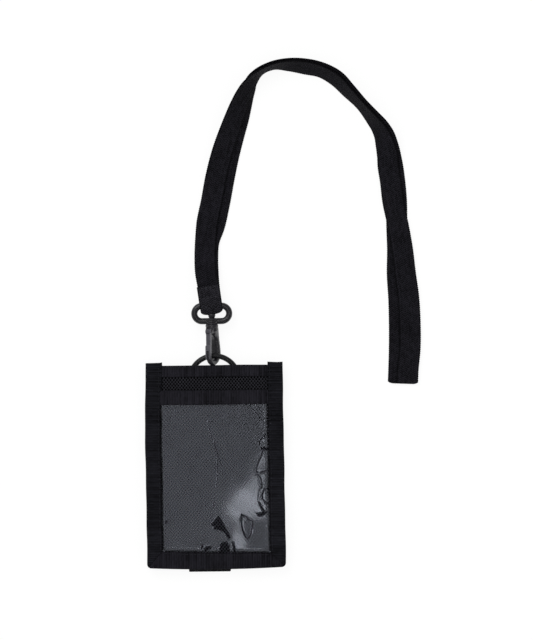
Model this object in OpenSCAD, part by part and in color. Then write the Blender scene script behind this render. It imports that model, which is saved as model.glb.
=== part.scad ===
// A neck wallet for an id card, lying on a table with its lanyard laid out above it.
// Millimetres. X is across the wallet, Y runs from its bottom edge to the lanyard, Z points up from the table.
// The origin is on the table under the middle of the wallet.

/* [Wallet] */
// Width of the wallet over its side bindings
wallet_width = 92; // [70:1:130]
// Height of the wallet from the bottom edge to the mouth
wallet_height = 134; // [100:1:180]
// Radius of the two lower corners
corner_radius = 2.7; // [1:0.1:8]
// Thickness of the back panel
panel_thickness = 0.9; // [0.5:0.1:2]
// Visible width of the edge binding
binding_width = 10.2; // [6:0.1:14]
// Thickness of the binding tape
binding_thickness = 0.6; // [0.3:0.1:1.2]
// How far the side bindings stand above the mouth
binding_ear = 2.2; // [0:0.1:5]

/* [Pockets] */
// Thickness of the mesh panel
mesh_thickness = 0.6; // [0.3:0.1:1.2]
// Thickness of the clear window
window_thickness = 0.35; // [0.2:0.05:0.8]
// Gap of the main pocket, behind the mesh
main_pocket_gap = 0.8; // [0.6:0.1:4]
// Gap of the card pocket, between window and mesh
card_pocket_gap = 0.8; // [0.6:0.1:4]
// Width of the slope from the binding up to the pocket's face
slope_width = 5; // [3:0.5:12]
// Distance from the mouth down to the window's mouth tape
window_drop = 15.7; // [12:0.1:30]
// Width of the window's mouth tape
mouth_tape_width = 9.6; // [5:0.1:14]
// Width of the tape on the mesh panel's mouth
top_tape_width = 6.9; // [4:0.1:12]
// Thickness of the mouth tapes
tape_thickness = 0.5; // [0.3:0.1:0.6]

/* [Mesh] */
// Distance between gaps along a row
mesh_pitch = 2.1; // [1.6:0.05:4]
// Distance between rows of gaps
mesh_row_pitch = 1.25; // [0.9:0.05:3]
// Width of a gap
mesh_gap_width = 1.45; // [0.6:0.05:3]
// Height of a gap
mesh_gap_height = 1.6; // [0.6:0.05:3]

/* [Back strap] */
// Width of the webbing on the back
back_strap_width = 28; // [20:1:36]
// Thickness of the webbing on the back
back_strap_thickness = 1.2; // [0.8:0.1:2]
// Space inside the webbing's loop round the ring
loop_gap = 4.3; // [3.6:0.1:7]
// How far the bottom fold shows below the wallet
fold_overhang = 2.4; // [0.5:0.1:5]
// Length of the sewn tail at the top
top_tail_length = 14; // [8:1:30]
// Length of the sewn tail at the bottom
bottom_tail_length = 9; // [6:0.5:12]

/* [D ring] */
// Radius of the ring's arc to the middle of the wire
ring_radius = 16.35; // [12:0.05:22]
// Diameter of the ring's wire
ring_wire = 2.8; // [2:0.1:4]
// Radius of the ring's two corners to the middle of the wire
ring_corner = 2; // [1.8:0.1:5]
// Length of the straight between a corner and the arc
ring_leg = 0.4; // [0.2:0.1:4]
// Distance from the mouth down to the ring's straight bar
ring_bar_drop = 11.5; // [6:0.1:16]
// Slope of the ring from the table, in degrees
ring_tilt = 5.4; // [0:0.1:12]

/* [Hook] */
// Sideways place of the hook's long axis
hook_shift = -1.2; // [-3:0.1:3]
// Turn of the hook about its long axis, in degrees
hook_roll = 65; // [50:1:80]
// Distance from the hook's long axis to the middle of the stem
arm_offset = 5.4; // [4.5:0.1:8]
// Thickness of stem and bend in the hook's plane
stem_thickness = 2.6; // [2:0.1:4]
// Depth of stem and bend across the hook's plane
stem_depth = 4.8; // [3.5:0.1:7]
// Radius of the rounded edges of stem and bend
stem_round = 1.2; // [0.4:0.1:1.3]
// Distance from the bend's centre to the centre of the eye
hook_reach = 27.9; // [24:0.1:40]
// Diameter of the barrel below the eye
barrel_diameter = 8.2; // [6:0.1:12]
// Height of the barrel
barrel_height = 2.2; // [1.5:0.1:5]
// Height of the shoulder that carries the gate
shoulder_height = 4; // [3:0.1:7]
// Diameter of the swivel post
post_diameter = 3.4; // [2.4:0.1:5]
// Diameter of the post's head
head_diameter = 4.9; // [4:0.1:8]
// Height of the post's head
head_height = 2.6; // [1:0.1:3]

/* [Gate] */
// Depth of the gate's arm across the hook's plane
gate_depth = 2.5; // [1.5:0.1:4]
// Thickness of the gate's arm
gate_thickness = 2.4; // [1.5:0.1:2.6]
// Depth of the gate's thumb tab
tab_depth = 3.5; // [2.8:0.1:5]
// Length of the gate's thumb tab
tab_length = 9.4; // [7:0.1:14]
// How far the tab reaches below the bend's centre
tab_reach = 2.9; // [2:0.1:3.5]
// Radius of the gate's knuckle
knuckle_radius = 1.7; // [1.4:0.1:2]
// Diameter of the gate's pin
gate_pin = 1.6; // [1:0.1:2]
// Depth of the tongue at the hook's nose
tongue_depth = 1.4; // [1:0.1:2]

/* [Eye] */
// Outer width of the swivel eye
eye_width = 27; // [24:0.5:40]
// Radius of the eye's round ends to the middle of the wire
eye_end_radius = 5.1; // [4.6:0.1:8]
// Diameter of the eye's wire
eye_wire = 3.8; // [3:0.1:5]
// Diameter of the collar round the post
collar_diameter = 7.3; // [6:0.1:10]
// How far the collar stands out of the eye's wire
collar_rise = 0.5; // [0.2:0.1:2]

/* [Lanyard] */
// Width of the lanyard webbing
lanyard_width = 14.5; // [10:0.5:20]
// Thickness of the lanyard webbing
lanyard_thickness = 1.2; // [0.8:0.1:2]
// Gap between the two legs of the lanyard
leg_gap = 0.5; // [0.3:0.1:1.5]
// Length of the end sleeve from the eye's bar
sleeve_length = 13.5; // [10:0.5:30]
// Clearance of the sleeve round the eye's bar
sleeve_clearance = 0.35; // [0.3:0.05:1]
// How far the sleeve's loop hangs below the eye's bar
sleeve_drop = 2.8; // [1:0.1:4]
// Radius inside the bottom of the sleeve's loop
sleeve_tip_radius = 1.2; // [0.8:0.1:1.8]
// Sideways place of the sleeve at the eye's bar
sleeve_shift = -1.4; // [-3:0.1:1]
// Lean of the sleeve to the left, in degrees
sleeve_lean = 7.8; // [0:0.1:12]

/* [Stitches] */
// Distance between stitches
stitch_pitch = 2.8; // [2:0.1:5]
// Length of a stitch
stitch_length = 2; // [1:0.1:3]
// Width of a stitch
stitch_width = 0.4; // [0.2:0.05:0.8]
// Height of a stitch above the cloth
stitch_height = 0.2; // [0.1:0.05:0.4]
// Distance of a seam from the tape's edge
seam_inset = 1.3; // [0.8:0.1:3]

/* [Hidden] */
$fn = 48;
// Running gap of the swivel, gap beside the gate, clearance of the gate on its pin, and the overrun of cuts
running_gap = 0.25;
gate_gap = 0.15;
pin_clearance = 0.08;
overrun = 1;
// Gap from the back layer of a mouth tape to the slope of the panel behind it
tape_side_gap = 0.3;
// Thickness of the web between the gate's slot and the hook's opening, and height of the tongue over the bend's centre
web_thickness = 0.9;
tongue_rise = 2.7;
// Height of the gate's knuckle over the shoulder's lower side
knuckle_rise = 2;
// Distance from the ring's wire up to the bend's centre, and from the hook's long axis to the wire
cradle_rise = 0.3;
wire_shift = 1.05;
// Clearance under the ring's bar loop
bar_gap = 0.1;
// Length of the sleeve's taper from the bar down to the two legs
sleeve_taper = 4.1;
// Chamfer of the webbing's edge
webbing_chamfer = 0.3;

// Levels of the layers, from the table up
half_width = wallet_width / 2;
half_height = wallet_height / 2;
panel_z = 2 * back_strap_thickness + loop_gap;
rim_mesh_z = panel_z + panel_thickness;
rim_window_z = rim_mesh_z + mesh_thickness;
rim_top_z = rim_window_z + window_thickness;
mesh_rise = main_pocket_gap;
window_rise = main_pocket_gap + card_pocket_gap;
mouth_y = half_height - window_drop;
mouth_low_y = mouth_y - mouth_tape_width;
top_tape_low_y = half_height - top_tape_width;
opening_half = half_width - binding_width;
plateau_half = opening_half - slope_width;

// D ring
bar_y = half_height - ring_bar_drop;
bar_z = back_strap_thickness + loop_gap - bar_gap - ring_wire / 2;
ring_reach = ring_radius + ring_corner + ring_leg;
wire_y = bar_y + ring_reach * cos(ring_tilt);
wire_z = bar_z + ring_reach * sin(ring_tilt);

// Hook, in its own plane: x from gate to stem, y along it, z across it
hook_z = wire_z + wire_shift * sin(hook_roll);
bend_y = wire_y + cradle_rise;
eye_y = bend_y + hook_reach;
eye_bar_y = eye_y + eye_end_radius;
eye_low_y = eye_y - eye_end_radius;
collar_low_y = eye_low_y - eye_wire / 2 - collar_rise;
collar_top_y = eye_low_y + eye_wire / 2;
barrel_top_y = collar_low_y - running_gap;
barrel_low_y = barrel_top_y - barrel_height;
shoulder_low_y = barrel_low_y - shoulder_height;
inner_x = arm_offset - stem_thickness / 2;
outer_x = arm_offset + stem_thickness / 2;
pivot_x = -inner_x - gate_thickness / 2;
pivot_y = shoulder_low_y + knuckle_rise;
slot_depth = gate_depth + 2 * gate_gap;
tab_low_y = bend_y - tab_reach;
tab_top_y = tab_low_y + tab_length;
tongue_top_y = bend_y + tongue_rise;
tongue_inner_x = inner_x + web_thickness + gate_gap;

// Eye and sleeve
eye_straight = eye_width - 2 * eye_end_radius - eye_wire;
sleeve_inner = eye_wire / 2 + sleeve_clearance;
sleeve_outer = sleeve_inner + lanyard_thickness;
pair_half = lanyard_thickness + leg_gap / 2;
sleeve_end_y = eye_bar_y + sleeve_length;

// Route of the doubled lanyard: x, y, height of its middle as a share of the hook's height (0 lies on the table),
// roll in degrees, spread of the two legs
route = [
  [-1.8, 110.5, 1, 0, 0], [-3.2, 121, 1, 0, 0], [-3.9, 130, 0.84, 0, 0.2], [-4, 140, 0.6, 0, 0.6],
  [-3.5, 150, 0.38, 0, 1.4], [-1.4, 160.7, 0.25, 0, 4], [2, 176.7, 0, 0, 4.4], [4.9, 192.6, 0, -6, 4.4],
  [8.6, 208.6, 0, -13, 4.2], [13.8, 223.9, 0, -24, 3.6], [16.6, 232.4, 0, -34, 3.2], [19.4, 240.6, 0, -45, 2.6],
  [22.1, 247.4, 0, -55, 1.8], [25.3, 253.6, 0, -65, 1], [32, 261.4, 0, -74, 0.2], [41.4, 266.6, 0, -76, 0],
  [52, 268, 0, -68, 0], [62.7, 266.5, 0, -58, -0.5], [73.3, 263.2, 0, -55, -1.2], [83.3, 257.6, 0, -57, -2],
  [91.8, 249.9, 0, -61, -2.2], [99.7, 240.6, 0, -62, -2.4], [107.2, 230.8, 0, -55, -2.4],
  [111, 225.4, 0, -47, -2.3], [114, 219.7, 0, -37, -2], [116.3, 213.5, 0, -26, -1.6], [118, 206.8, 0, -15, -1.2],
  [119.1, 199.4, 0, -6, -1], [120.1, 191, 0, 0, -0.8], [121.6, 175.4, 0, 0, -0.4], [123.2, 159.3, 0, 0, 0.6],
  [124.7, 143.3, 0, 0, 2.8], [126, 127.3, 0, 0, 4.8], [126.8, 111.3, 0, 0, 5.8], [127, 95.3, 0, 0, 6.2],
  [126.6, 78, 0, 0, 6.2], [126, 62, 0, 0, 6], [125.7, 56.2, 0, 0, 6]
];
// Turns of the fold at the lanyard's far end, and its share of the spread at each turn
fold_steps = 4;

module along_y(y0, y1) {
  translate([0, y1, 0])
    rotate([90, 0, 0])
      linear_extrude(y1 - y0)
        children();
}

module along_x(x0, x1) {
  translate([x0, 0, 0])
    rotate([90, 0, 90])
      linear_extrude(x1 - x0)
        children();
}

module block(x0, x1, y0, y1, z0, z1) {
  translate([x0, y0, z0])
    cube([x1 - x0, y1 - y0, z1 - z0]);
}

// A sheet with a flat rim and a raised face, closed at the sides and the bottom, open at the top edge
module raised_sheet(half, y0, y1, z, rise, thick, rim, slope) {
  in1 = half - rim;
  in2 = in1 - slope;
  low1 = y0 + rim;
  low2 = low1 + slope;
  layer = [
    [-half, y0, 0], [half, y0, 0], [half, y1, 0], [-half, y1, 0],
    [-in1, low1, 0], [in1, low1, 0], [in1, y1, 0], [-in1, y1, 0],
    [-in2, low2, rise], [in2, low2, rise], [in2, y1, rise], [-in2, y1, rise]
  ];
  points = concat(
    [for (p = layer) [p[0], p[1], p[2] + z]],
    [for (p = layer) [p[0], p[1], p[2] + z + thick]]
  );
  face = [
    [0, 1, 5, 4], [1, 2, 6, 5], [3, 0, 4, 7],
    [4, 5, 9, 8], [5, 6, 10, 9], [7, 4, 8, 11], [8, 9, 10, 11]
  ];
  n = len(layer);
  polyhedron(
    points = points,
    faces = concat(
      [for (f = face) f],
      [for (f = face) [for (i = [3:-1:0]) f[i] + n]],
      [
        [0, n, n + 1, 1], [1, n + 1, n + 2, 2], [3, n + 3, n, 0],
        [2, n + 2, n + 6, 6], [6, n + 6, n + 10, 10], [10, n + 10, n + 11, 11],
        [11, n + 11, n + 7, 7], [7, n + 7, n + 3, 3]
      ]
    ),
    convexity = 4
  );
}

// A tape that follows the raised face across the wallet, drawn in X and Z
module raised_profile(z, rise, thick, end, flat) {
  polygon([
    [-end, z], [-flat, z + rise], [flat, z + rise], [end, z],
    [end, z + thick], [flat, z + rise + thick], [-flat, z + rise + thick], [-end, z + thick]
  ]);
}

module folded_tape(low_y, top_y, z, rise, sheet) {
  along_y(low_y, top_y)
    raised_profile(z + sheet, rise, tape_thickness, opening_half, plateau_half);
  block(-plateau_half + tape_side_gap, plateau_half - tape_side_gap, low_y, top_y,
    z + rise - tape_thickness, z + rise);
  block(-plateau_half + tape_side_gap, plateau_half - tape_side_gap, top_y - tape_thickness, top_y,
    z + rise - tape_thickness, z + rise + sheet + tape_thickness);
}

module wallet_outline(inset, top) {
  r = corner_radius - inset;
  x = half_width - inset;
  y = -half_height + inset;
  difference() {
    translate([-x, y])
      square([2 * x, top - y]);
    for (s = [-1, 1])
      translate([s * x, y])
        difference() {
          square(2 * r, center = true);
          translate([-s * r, r])
            circle(r);
        }
  }
}

module back_panel() {
  color([0.09, 0.09, 0.1])
    translate([0, 0, panel_z])
      linear_extrude(panel_thickness)
        wallet_outline(binding_thickness, half_height);
}

module mesh_gap() {
  polygon([
    [-mesh_gap_width / 2, 0], [0, -mesh_gap_height / 2], [mesh_gap_width / 2, 0], [0, mesh_gap_height / 2]
  ]);
}

module mesh_panel() {
  low = mouth_y + mesh_gap_height / 2;
  high = top_tape_low_y - mesh_gap_height / 2;
  rows = floor((high - low) / mesh_row_pitch) + 1;
  first_y = (low + high - (rows - 1) * mesh_row_pitch) / 2;
  reach = opening_half - mesh_pitch;
  columns = floor(2 * reach / mesh_pitch);
  color([0.13, 0.13, 0.14])
    difference() {
      raised_sheet(half_width - binding_thickness, -half_height + binding_thickness, half_height - tape_thickness,
        rim_mesh_z, mesh_rise, mesh_thickness, binding_width - binding_thickness, slope_width);
      translate([0, 0, rim_mesh_z - overrun])
        linear_extrude(mesh_rise + mesh_thickness + 2 * overrun)
          for (row = [0:rows - 1])
            for (column = [0:columns - (row % 2)])
              translate([
                (column - (columns - (row % 2)) / 2) * mesh_pitch,
                first_y + row * mesh_row_pitch
              ])
                mesh_gap();
    }
}

module window_sheet() {
  color([0.62, 0.66, 0.7, 0.45])
    raised_sheet(half_width - binding_thickness, -half_height + binding_thickness, mouth_y - tape_thickness,
      rim_window_z, window_rise, window_thickness, binding_width - binding_thickness, slope_width);
}

module window_mouth_tape() {
  color([0.07, 0.07, 0.08])
    folded_tape(mouth_low_y, mouth_y, rim_window_z, window_rise, window_thickness);
}

module top_tape() {
  color([0.07, 0.07, 0.08])
    folded_tape(top_tape_low_y, half_height, rim_mesh_z, mesh_rise, mesh_thickness);
}

module binding_shell() {
  top = half_height + binding_ear;
  difference() {
    translate([0, 0, panel_z - binding_thickness])
      linear_extrude(rim_top_z - panel_z + 2 * binding_thickness)
        wallet_outline(0, top);
    translate([0, 0, panel_z])
      linear_extrude(rim_top_z - panel_z)
        wallet_outline(binding_thickness, top + overrun);
    block(-opening_half, opening_half, -half_height + binding_width, top + overrun,
      0, rim_top_z + binding_thickness + overrun);
  }
}

module side_region(side) {
  top = half_height + binding_ear + overrun;
  translate([0, 0, panel_z - overrun])
    linear_extrude(rim_top_z - panel_z + 2 * overrun)
      polygon([
        [side * (half_width + overrun), -half_height - overrun],
        [side * opening_half, -half_height + binding_width],
        [side * opening_half, top],
        [side * (half_width + overrun), top]
      ]);
}

module left_binding() {
  color([0.06, 0.06, 0.07])
    intersection() {
      binding_shell();
      side_region(-1);
    }
}

module right_binding() {
  color([0.06, 0.06, 0.07])
    intersection() {
      binding_shell();
      side_region(1);
    }
}

module bottom_binding() {
  color([0.06, 0.06, 0.07])
    intersection() {
      binding_shell();
      translate([0, 0, panel_z - overrun])
        linear_extrude(rim_top_z - panel_z + 2 * overrun)
          polygon([
            [-half_width - overrun, -half_height - overrun],
            [half_width + overrun, -half_height - overrun],
            [opening_half, -half_height + binding_width],
            [-opening_half, -half_height + binding_width]
          ]);
    }
}

module back_strap() {
  t = back_strap_thickness;
  top_outer = t + loop_gap / 2;
  low_tail_top = panel_z - binding_thickness;
  low_outer = low_tail_top / 2;
  fold_y = -half_height - fold_overhang + low_outer;
  color([0.08, 0.08, 0.09])
    along_x(-back_strap_width / 2, back_strap_width / 2) {
      translate([fold_y, 0])
        square([bar_y - fold_y, t]);
      translate([bar_y - top_tail_length, panel_z - t])
        square([top_tail_length, t]);
      translate([fold_y, low_tail_top - t])
        square([bottom_tail_length, t]);
      intersection() {
        translate([bar_y, top_outer])
          difference() {
            circle(top_outer);
            circle(top_outer - t);
          }
        translate([bar_y, 0])
          square([top_outer + overrun, panel_z]);
      }
      intersection() {
        translate([fold_y, low_outer])
          difference() {
            circle(low_outer);
            circle(low_outer - t);
          }
        translate([fold_y - low_outer - overrun, 0])
          square([low_outer + overrun, panel_z]);
      }
    }
}

module stitch_row(x0, y0, x1, y1, z0, z1) {
  run = norm([x1 - x0, y1 - y0]);
  count = floor((run - stitch_length) / stitch_pitch) + 1;
  angle = atan2(y1 - y0, x1 - x0);
  start = (run - (count - 1) * stitch_pitch - stitch_length) / 2;
  translate([x0, y0, 0])
    rotate([0, 0, angle])
      for (i = [0:count - 1])
        block(start + i * stitch_pitch, start + i * stitch_pitch + stitch_length,
          -stitch_width / 2, stitch_width / 2, z0, z1);
}

module binding_stitches() {
  z = rim_top_z + binding_thickness;
  x = opening_half + seam_inset;
  y = -half_height + binding_width - seam_inset;
  color([0.16, 0.16, 0.17]) {
    for (s = [-1, 1])
      stitch_row(s * x, y + seam_inset, s * x, half_height, z, z + stitch_height);
    stitch_row(-x + seam_inset, y, x - seam_inset, y, z, z + stitch_height);
  }
}

module mouth_stitches() {
  y = mouth_low_y + seam_inset;
  z = rim_top_z + window_rise + tape_thickness;
  color([0.16, 0.16, 0.17])
    stitch_row(-plateau_half, y, plateau_half, y, z, z + stitch_height);
}

module top_stitches() {
  y = top_tape_low_y + seam_inset;
  z = rim_window_z + mesh_rise + tape_thickness;
  color([0.16, 0.16, 0.17])
    stitch_row(-plateau_half, y, plateau_half, y, z, z + stitch_height);
}

// The seams that hold the two tails lie on the side of each tail that faces the belt gap
module back_strap_stitches() {
  top_z = panel_z - back_strap_thickness;
  low_z = top_z - binding_thickness;
  x = back_strap_width / 2 - seam_inset;
  top_y0 = bar_y - top_tail_length + seam_inset;
  top_y1 = bar_y - loop_gap / 2 - seam_inset;
  low_y1 = -half_height - fold_overhang + (panel_z - binding_thickness) / 2 + bottom_tail_length - seam_inset;
  color([0.16, 0.16, 0.17]) {
    for (y = [top_y0, top_y1])
      stitch_row(-x, y, x, y, top_z - stitch_height, top_z);
    for (y = [low_y1 - 2 * seam_inset, low_y1])
      stitch_row(-x, y, x, y, low_z - stitch_height, low_z);
  }
}

module wire_run(from, to) {
  way = to - from;
  translate([from[0], from[1], 0])
    rotate([0, 0, atan2(way[1], way[0])])
      rotate([0, 90, 0])
        cylinder(d = ring_wire, h = norm(way));
}

// Drawn flat, with the straight bar along X at the origin
module d_ring() {
  side_x = ring_radius;
  arc_y = ring_corner + ring_leg;
  color([0.16, 0.16, 0.18])
    translate([0, bar_y, bar_z])
      rotate([ring_tilt, 0, 0]) {
        translate([0, arc_y, 0])
          rotate_extrude(angle = 180)
            translate([ring_radius, 0])
              circle(d = ring_wire);
        wire_run([ring_corner - side_x, 0], [side_x - ring_corner, 0]);
        for (s = [0, 1])
          mirror([s, 0, 0]) {
            wire_run([side_x, ring_corner], [side_x, arc_y]);
            translate([side_x - ring_corner, ring_corner, 0])
              rotate([0, 0, -90])
                rotate_extrude(angle = 90)
                  translate([ring_corner, 0])
                    circle(d = ring_wire);
          }
      }
}

module in_hook() {
  translate([hook_shift, 0, hook_z])
    rotate([0, hook_roll, 0])
      children();
}

// Section of stem and bend: thickness along x, depth along y
module arm_section(thick, deep, round) {
  square([thick, deep - 2 * round], center = true);
  square([thick - 2 * round, deep], center = true);
  for (sx = [-1, 1], sy = [-1, 1])
    translate([sx * (thick / 2 - round), sy * (deep / 2 - round)])
      circle(round);
}

module hook_body() {
  tongue_thick = outer_x - tongue_inner_x;
  color([0.24, 0.24, 0.26])
    in_hook() {
      difference() {
        union() {
          // Post, head and barrel of the swivel
          translate([0, collar_top_y + running_gap, 0])
            rotate([-90, 0, 0])
              cylinder(d1 = head_diameter, d2 = post_diameter, h = head_height);
          translate([0, barrel_top_y, 0])
            rotate([-90, 0, 0])
              cylinder(d = post_diameter, h = collar_top_y + running_gap - barrel_top_y);
          translate([0, barrel_low_y, 0])
            rotate([-90, 0, 0])
              cylinder(d = barrel_diameter, h = barrel_height);
          // Shoulder
          along_y(shoulder_low_y, barrel_low_y)
            arm_section(2 * outer_x, stem_depth, stem_round);
          // Stem
          translate([arm_offset, shoulder_low_y, 0])
            rotate([90, 0, 0])
              linear_extrude(shoulder_low_y - bend_y)
                arm_section(stem_thickness, stem_depth, stem_round);
          // Bend
          difference() {
            translate([0, bend_y, 0])
              rotate([0, 0, 180])
                rotate_extrude(angle = 180)
                  translate([arm_offset, 0])
                    arm_section(stem_thickness, stem_depth, stem_round);
            block(-outer_x - overrun, -inner_x + stem_thickness / 2 + gate_gap, tab_low_y - running_gap,
              bend_y + overrun, -stem_depth, stem_depth);
          }
          // Tongue
          translate([0, bend_y, 0])
            rotate([0, 0, 180])
              rotate_extrude(angle = 60)
                translate([tongue_inner_x, -tongue_depth / 2])
                  square([tongue_thick, tongue_depth]);
          block(-outer_x, -tongue_inner_x, bend_y, tongue_top_y, -tongue_depth / 2, tongue_depth / 2);
        }
        // Slot for the gate, and the bore for its pin
        block(-outer_x - overrun, pivot_x + knuckle_radius + gate_gap, shoulder_low_y - overrun,
          pivot_y + knuckle_radius + gate_gap, -slot_depth / 2, slot_depth / 2);
        translate([pivot_x, pivot_y, -stem_depth])
          cylinder(d = gate_pin, h = 2 * stem_depth);
      }
    }
}

module gate_pin_rod() {
  color([0.5, 0.5, 0.52])
    in_hook()
      translate([pivot_x, pivot_y, -stem_depth / 2])
        cylinder(d = gate_pin, h = stem_depth);
}

module gate_lever() {
  arm_inner = -inner_x;
  arm_outer = -inner_x - gate_thickness;
  tab_outer = -outer_x;
  end_round = tab_reach / 2;
  color([0.3, 0.3, 0.32])
    in_hook()
      difference() {
        union() {
          translate([pivot_x, pivot_y, -gate_depth / 2])
            cylinder(r = knuckle_radius, h = gate_depth);
          block(arm_outer, arm_inner, tab_top_y - overrun, pivot_y, -gate_depth / 2, gate_depth / 2);
          translate([0, 0, -tab_depth / 2])
            linear_extrude(tab_depth)
              difference() {
                translate([tab_outer, tab_low_y])
                  square([arm_inner - tab_outer, tab_length]);
                translate([tab_outer, tab_low_y])
                  difference() {
                    square(2 * end_round, center = true);
                    translate([end_round, end_round])
                      circle(end_round);
                  }
              }
        }
        translate([pivot_x, pivot_y, -gate_depth])
          cylinder(d = gate_pin + 2 * pin_clearance, h = 2 * gate_depth);
        // Slot for the tongue, open to the inside below the web
        block(tab_outer - overrun, arm_inner - web_thickness, tab_low_y - overrun, tongue_top_y + running_gap,
          -tongue_depth / 2 - gate_gap, tongue_depth / 2 + gate_gap);
        block(tab_outer - overrun, arm_inner + overrun, tab_low_y - overrun, bend_y + gate_gap,
          -tongue_depth / 2 - gate_gap, tongue_depth / 2 + gate_gap);
      }
}

module swivel_eye() {
  r = eye_wire / 2;
  half = eye_straight / 2;
  color([0.24, 0.24, 0.26])
    translate([hook_shift, eye_y, hook_z])
      difference() {
        union() {
          for (s = [0, 1])
            rotate([0, 0, 180 * s])
              translate([half, 0, 0])
                rotate([0, 0, -90])
                  rotate_extrude(angle = 180)
                    translate([eye_end_radius, 0])
                      circle(r);
          for (s = [-1, 1])
            translate([-half, s * eye_end_radius, 0])
              rotate([0, 90, 0])
                cylinder(r = r, h = eye_straight);
          translate([0, collar_low_y - eye_y, 0])
            rotate([-90, 0, 0])
              cylinder(d = collar_diameter, h = collar_top_y - collar_low_y);
        }
        translate([0, collar_low_y - eye_y - overrun, 0])
          rotate([-90, 0, 0])
            cylinder(d = post_diameter + 2 * running_gap, h = collar_top_y - collar_low_y + 2 * overrun);
      }
}

// Outline of the sleeve in Y and Z: loose round the bar, then tapered to the two legs
module sleeve_outline(grow, half, end_y) {
  radius = sleeve_inner + grow;
  tip = sleeve_tip_radius + grow;
  taper_y = eye_bar_y + sleeve_taper;
  tip_y = eye_bar_y - sleeve_drop;
  translate([eye_bar_y, 0])
    circle(radius);
  translate([tip_y, 0])
    circle(tip);
  polygon([[eye_bar_y, -radius], [eye_bar_y, radius], [tip_y, tip], [tip_y, -tip]]);
  polygon([
    [eye_bar_y, -radius], [taper_y, -half], [end_y, -half], [end_y, half], [taper_y, half], [eye_bar_y, radius]
  ]);
}

// How far the leaning sleeve has moved aside at y
function sleeve_side(y) = sleeve_shift - (y - eye_bar_y) * tan(sleeve_lean);

module end_sleeve() {
  low_y = eye_bar_y - 2 * sleeve_outer;
  high_y = sleeve_end_y + sleeve_outer;
  half = lanyard_width / 2;
  color([0.08, 0.08, 0.09])
    translate([0, 0, hook_z])
      intersection() {
        along_x(-lanyard_width, lanyard_width)
          difference() {
            sleeve_outline(lanyard_thickness, pair_half + lanyard_thickness, sleeve_end_y);
            sleeve_outline(0, pair_half, sleeve_end_y + overrun);
          }
        translate([0, 0, -2 * sleeve_outer])
          linear_extrude(4 * sleeve_outer)
            polygon([
              [sleeve_side(low_y) - half, low_y], [sleeve_side(low_y) + half, low_y],
              [sleeve_side(high_y) + half, high_y], [sleeve_side(high_y) - half, high_y]
            ]);
      }
}

module sleeve_stitches() {
  z = pair_half + lanyard_thickness;
  x = lanyard_width / 2 - seam_inset;
  y0 = eye_bar_y + sleeve_taper + seam_inset;
  y1 = sleeve_end_y - seam_inset;
  color([0.16, 0.16, 0.17])
    translate([0, 0, hook_z])
      for (y = [y0, y1])
        stitch_row(sleeve_side(y) - x, y, sleeve_side(y) + x, y, z, z + stitch_height);
}

// Rings of one leg: side is -1 for the lower leg and 1 for the upper one
function unit(v) = v / norm(v);
function heading(i) =
  unit([for (k = [0, 1]) route[min(i + 1, len(route) - 1)][k] - route[max(i - 1, 0)][k]]);
function across(i) = let (h = heading(i)) [h[1], -h[0], 0];
function half_step() = (lanyard_thickness + leg_gap) / 2;
function lay_height(roll, spread) =
  lanyard_width / 2 * abs(sin(roll)) + lanyard_thickness / 2 * cos(roll)
  + abs(half_step() * cos(roll) - spread / 2 * sin(roll));
function middle(i) = [
  route[i][0], route[i][1], max(route[i][2] * hook_z, lay_height(route[i][3], route[i][4]))
];
function ring_side(i) = let (a = across(i), r = route[i][3]) a * cos(r) + [0, 0, sin(r)];
function ring_normal(i) = let (a = across(i), r = route[i][3]) [0, 0, cos(r)] - a * sin(r);
function ring(centre, wide, normal) =
  let (w = lanyard_width / 2, t = lanyard_thickness / 2, c = webbing_chamfer)
  [
    for (p = [
      [w - c, t], [w, t - c], [w, c - t], [w - c, -t], [0, -t],
      [c - w, -t], [-w, c - t], [-w, t - c], [c - w, t], [0, t]
    ]) centre + wide * p[0] + normal * p[1]
  ];
function leg_rings(side) = [
  for (i = [0:len(route) - 1])
    ring(middle(i) - ring_side(i) * side * route[i][4] / 2 + ring_normal(i) * side * half_step(),
      ring_side(i), ring_normal(i))
];
function fold_rings() =
  let (
    i = len(route) - 1, h = heading(i), forward = [h[0], h[1], 0], spread = route[i][4]
  ) [
    for (k = [1:fold_steps])
      let (a = 180 * k / fold_steps, n = ring_normal(i) * cos(a) + forward * sin(a))
      ring(middle(i) - ring_side(i) * spread / 2 * cos(a) + n * half_step(), ring_side(i), n)
  ];

module skin(rings) {
  n = len(rings[0]);
  m = len(rings);
  apex = floor(n / 2) - 1;
  polyhedron(
    points = [for (r = rings) each r],
    faces = concat(
      [for (k = [apex + 1:apex + n - 2]) [apex, k % n, (k + 1) % n]],
      [for (i = [0:m - 2], k = [0:n - 1]) each [
        [i * n + k, (i + 1) * n + k, (i + 1) * n + (k + 1) % n],
        [i * n + k, (i + 1) * n + (k + 1) % n, i * n + (k + 1) % n]
      ]],
      [for (k = [apex + 1:apex + n - 2]) [
        (m - 1) * n + apex, (m - 1) * n + (k + 1) % n, (m - 1) * n + k % n
      ]]
    ),
    convexity = 10
  );
}

module lanyard_lower_leg() {
  color([0.07, 0.07, 0.08])
    skin(leg_rings(-1));
}

module lanyard_upper_leg() {
  color([0.1, 0.1, 0.11])
    skin(concat(leg_rings(1), fold_rings()));
}

back_panel();
mesh_panel();
window_sheet();
window_mouth_tape();
top_tape();
left_binding();
right_binding();
bottom_binding();
back_strap();
binding_stitches();
mouth_stitches();
top_stitches();
back_strap_stitches();
d_ring();
hook_body();
gate_lever();
gate_pin_rod();
swivel_eye();
end_sleeve();
sleeve_stitches();
lanyard_lower_leg();
lanyard_upper_leg();
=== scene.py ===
"""Neck wallet for an id card with its lanyard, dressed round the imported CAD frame.

Shapes are written in millimetres in the CAD's own frame and turned to metres when a mesh is made.
"""
import math

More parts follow.
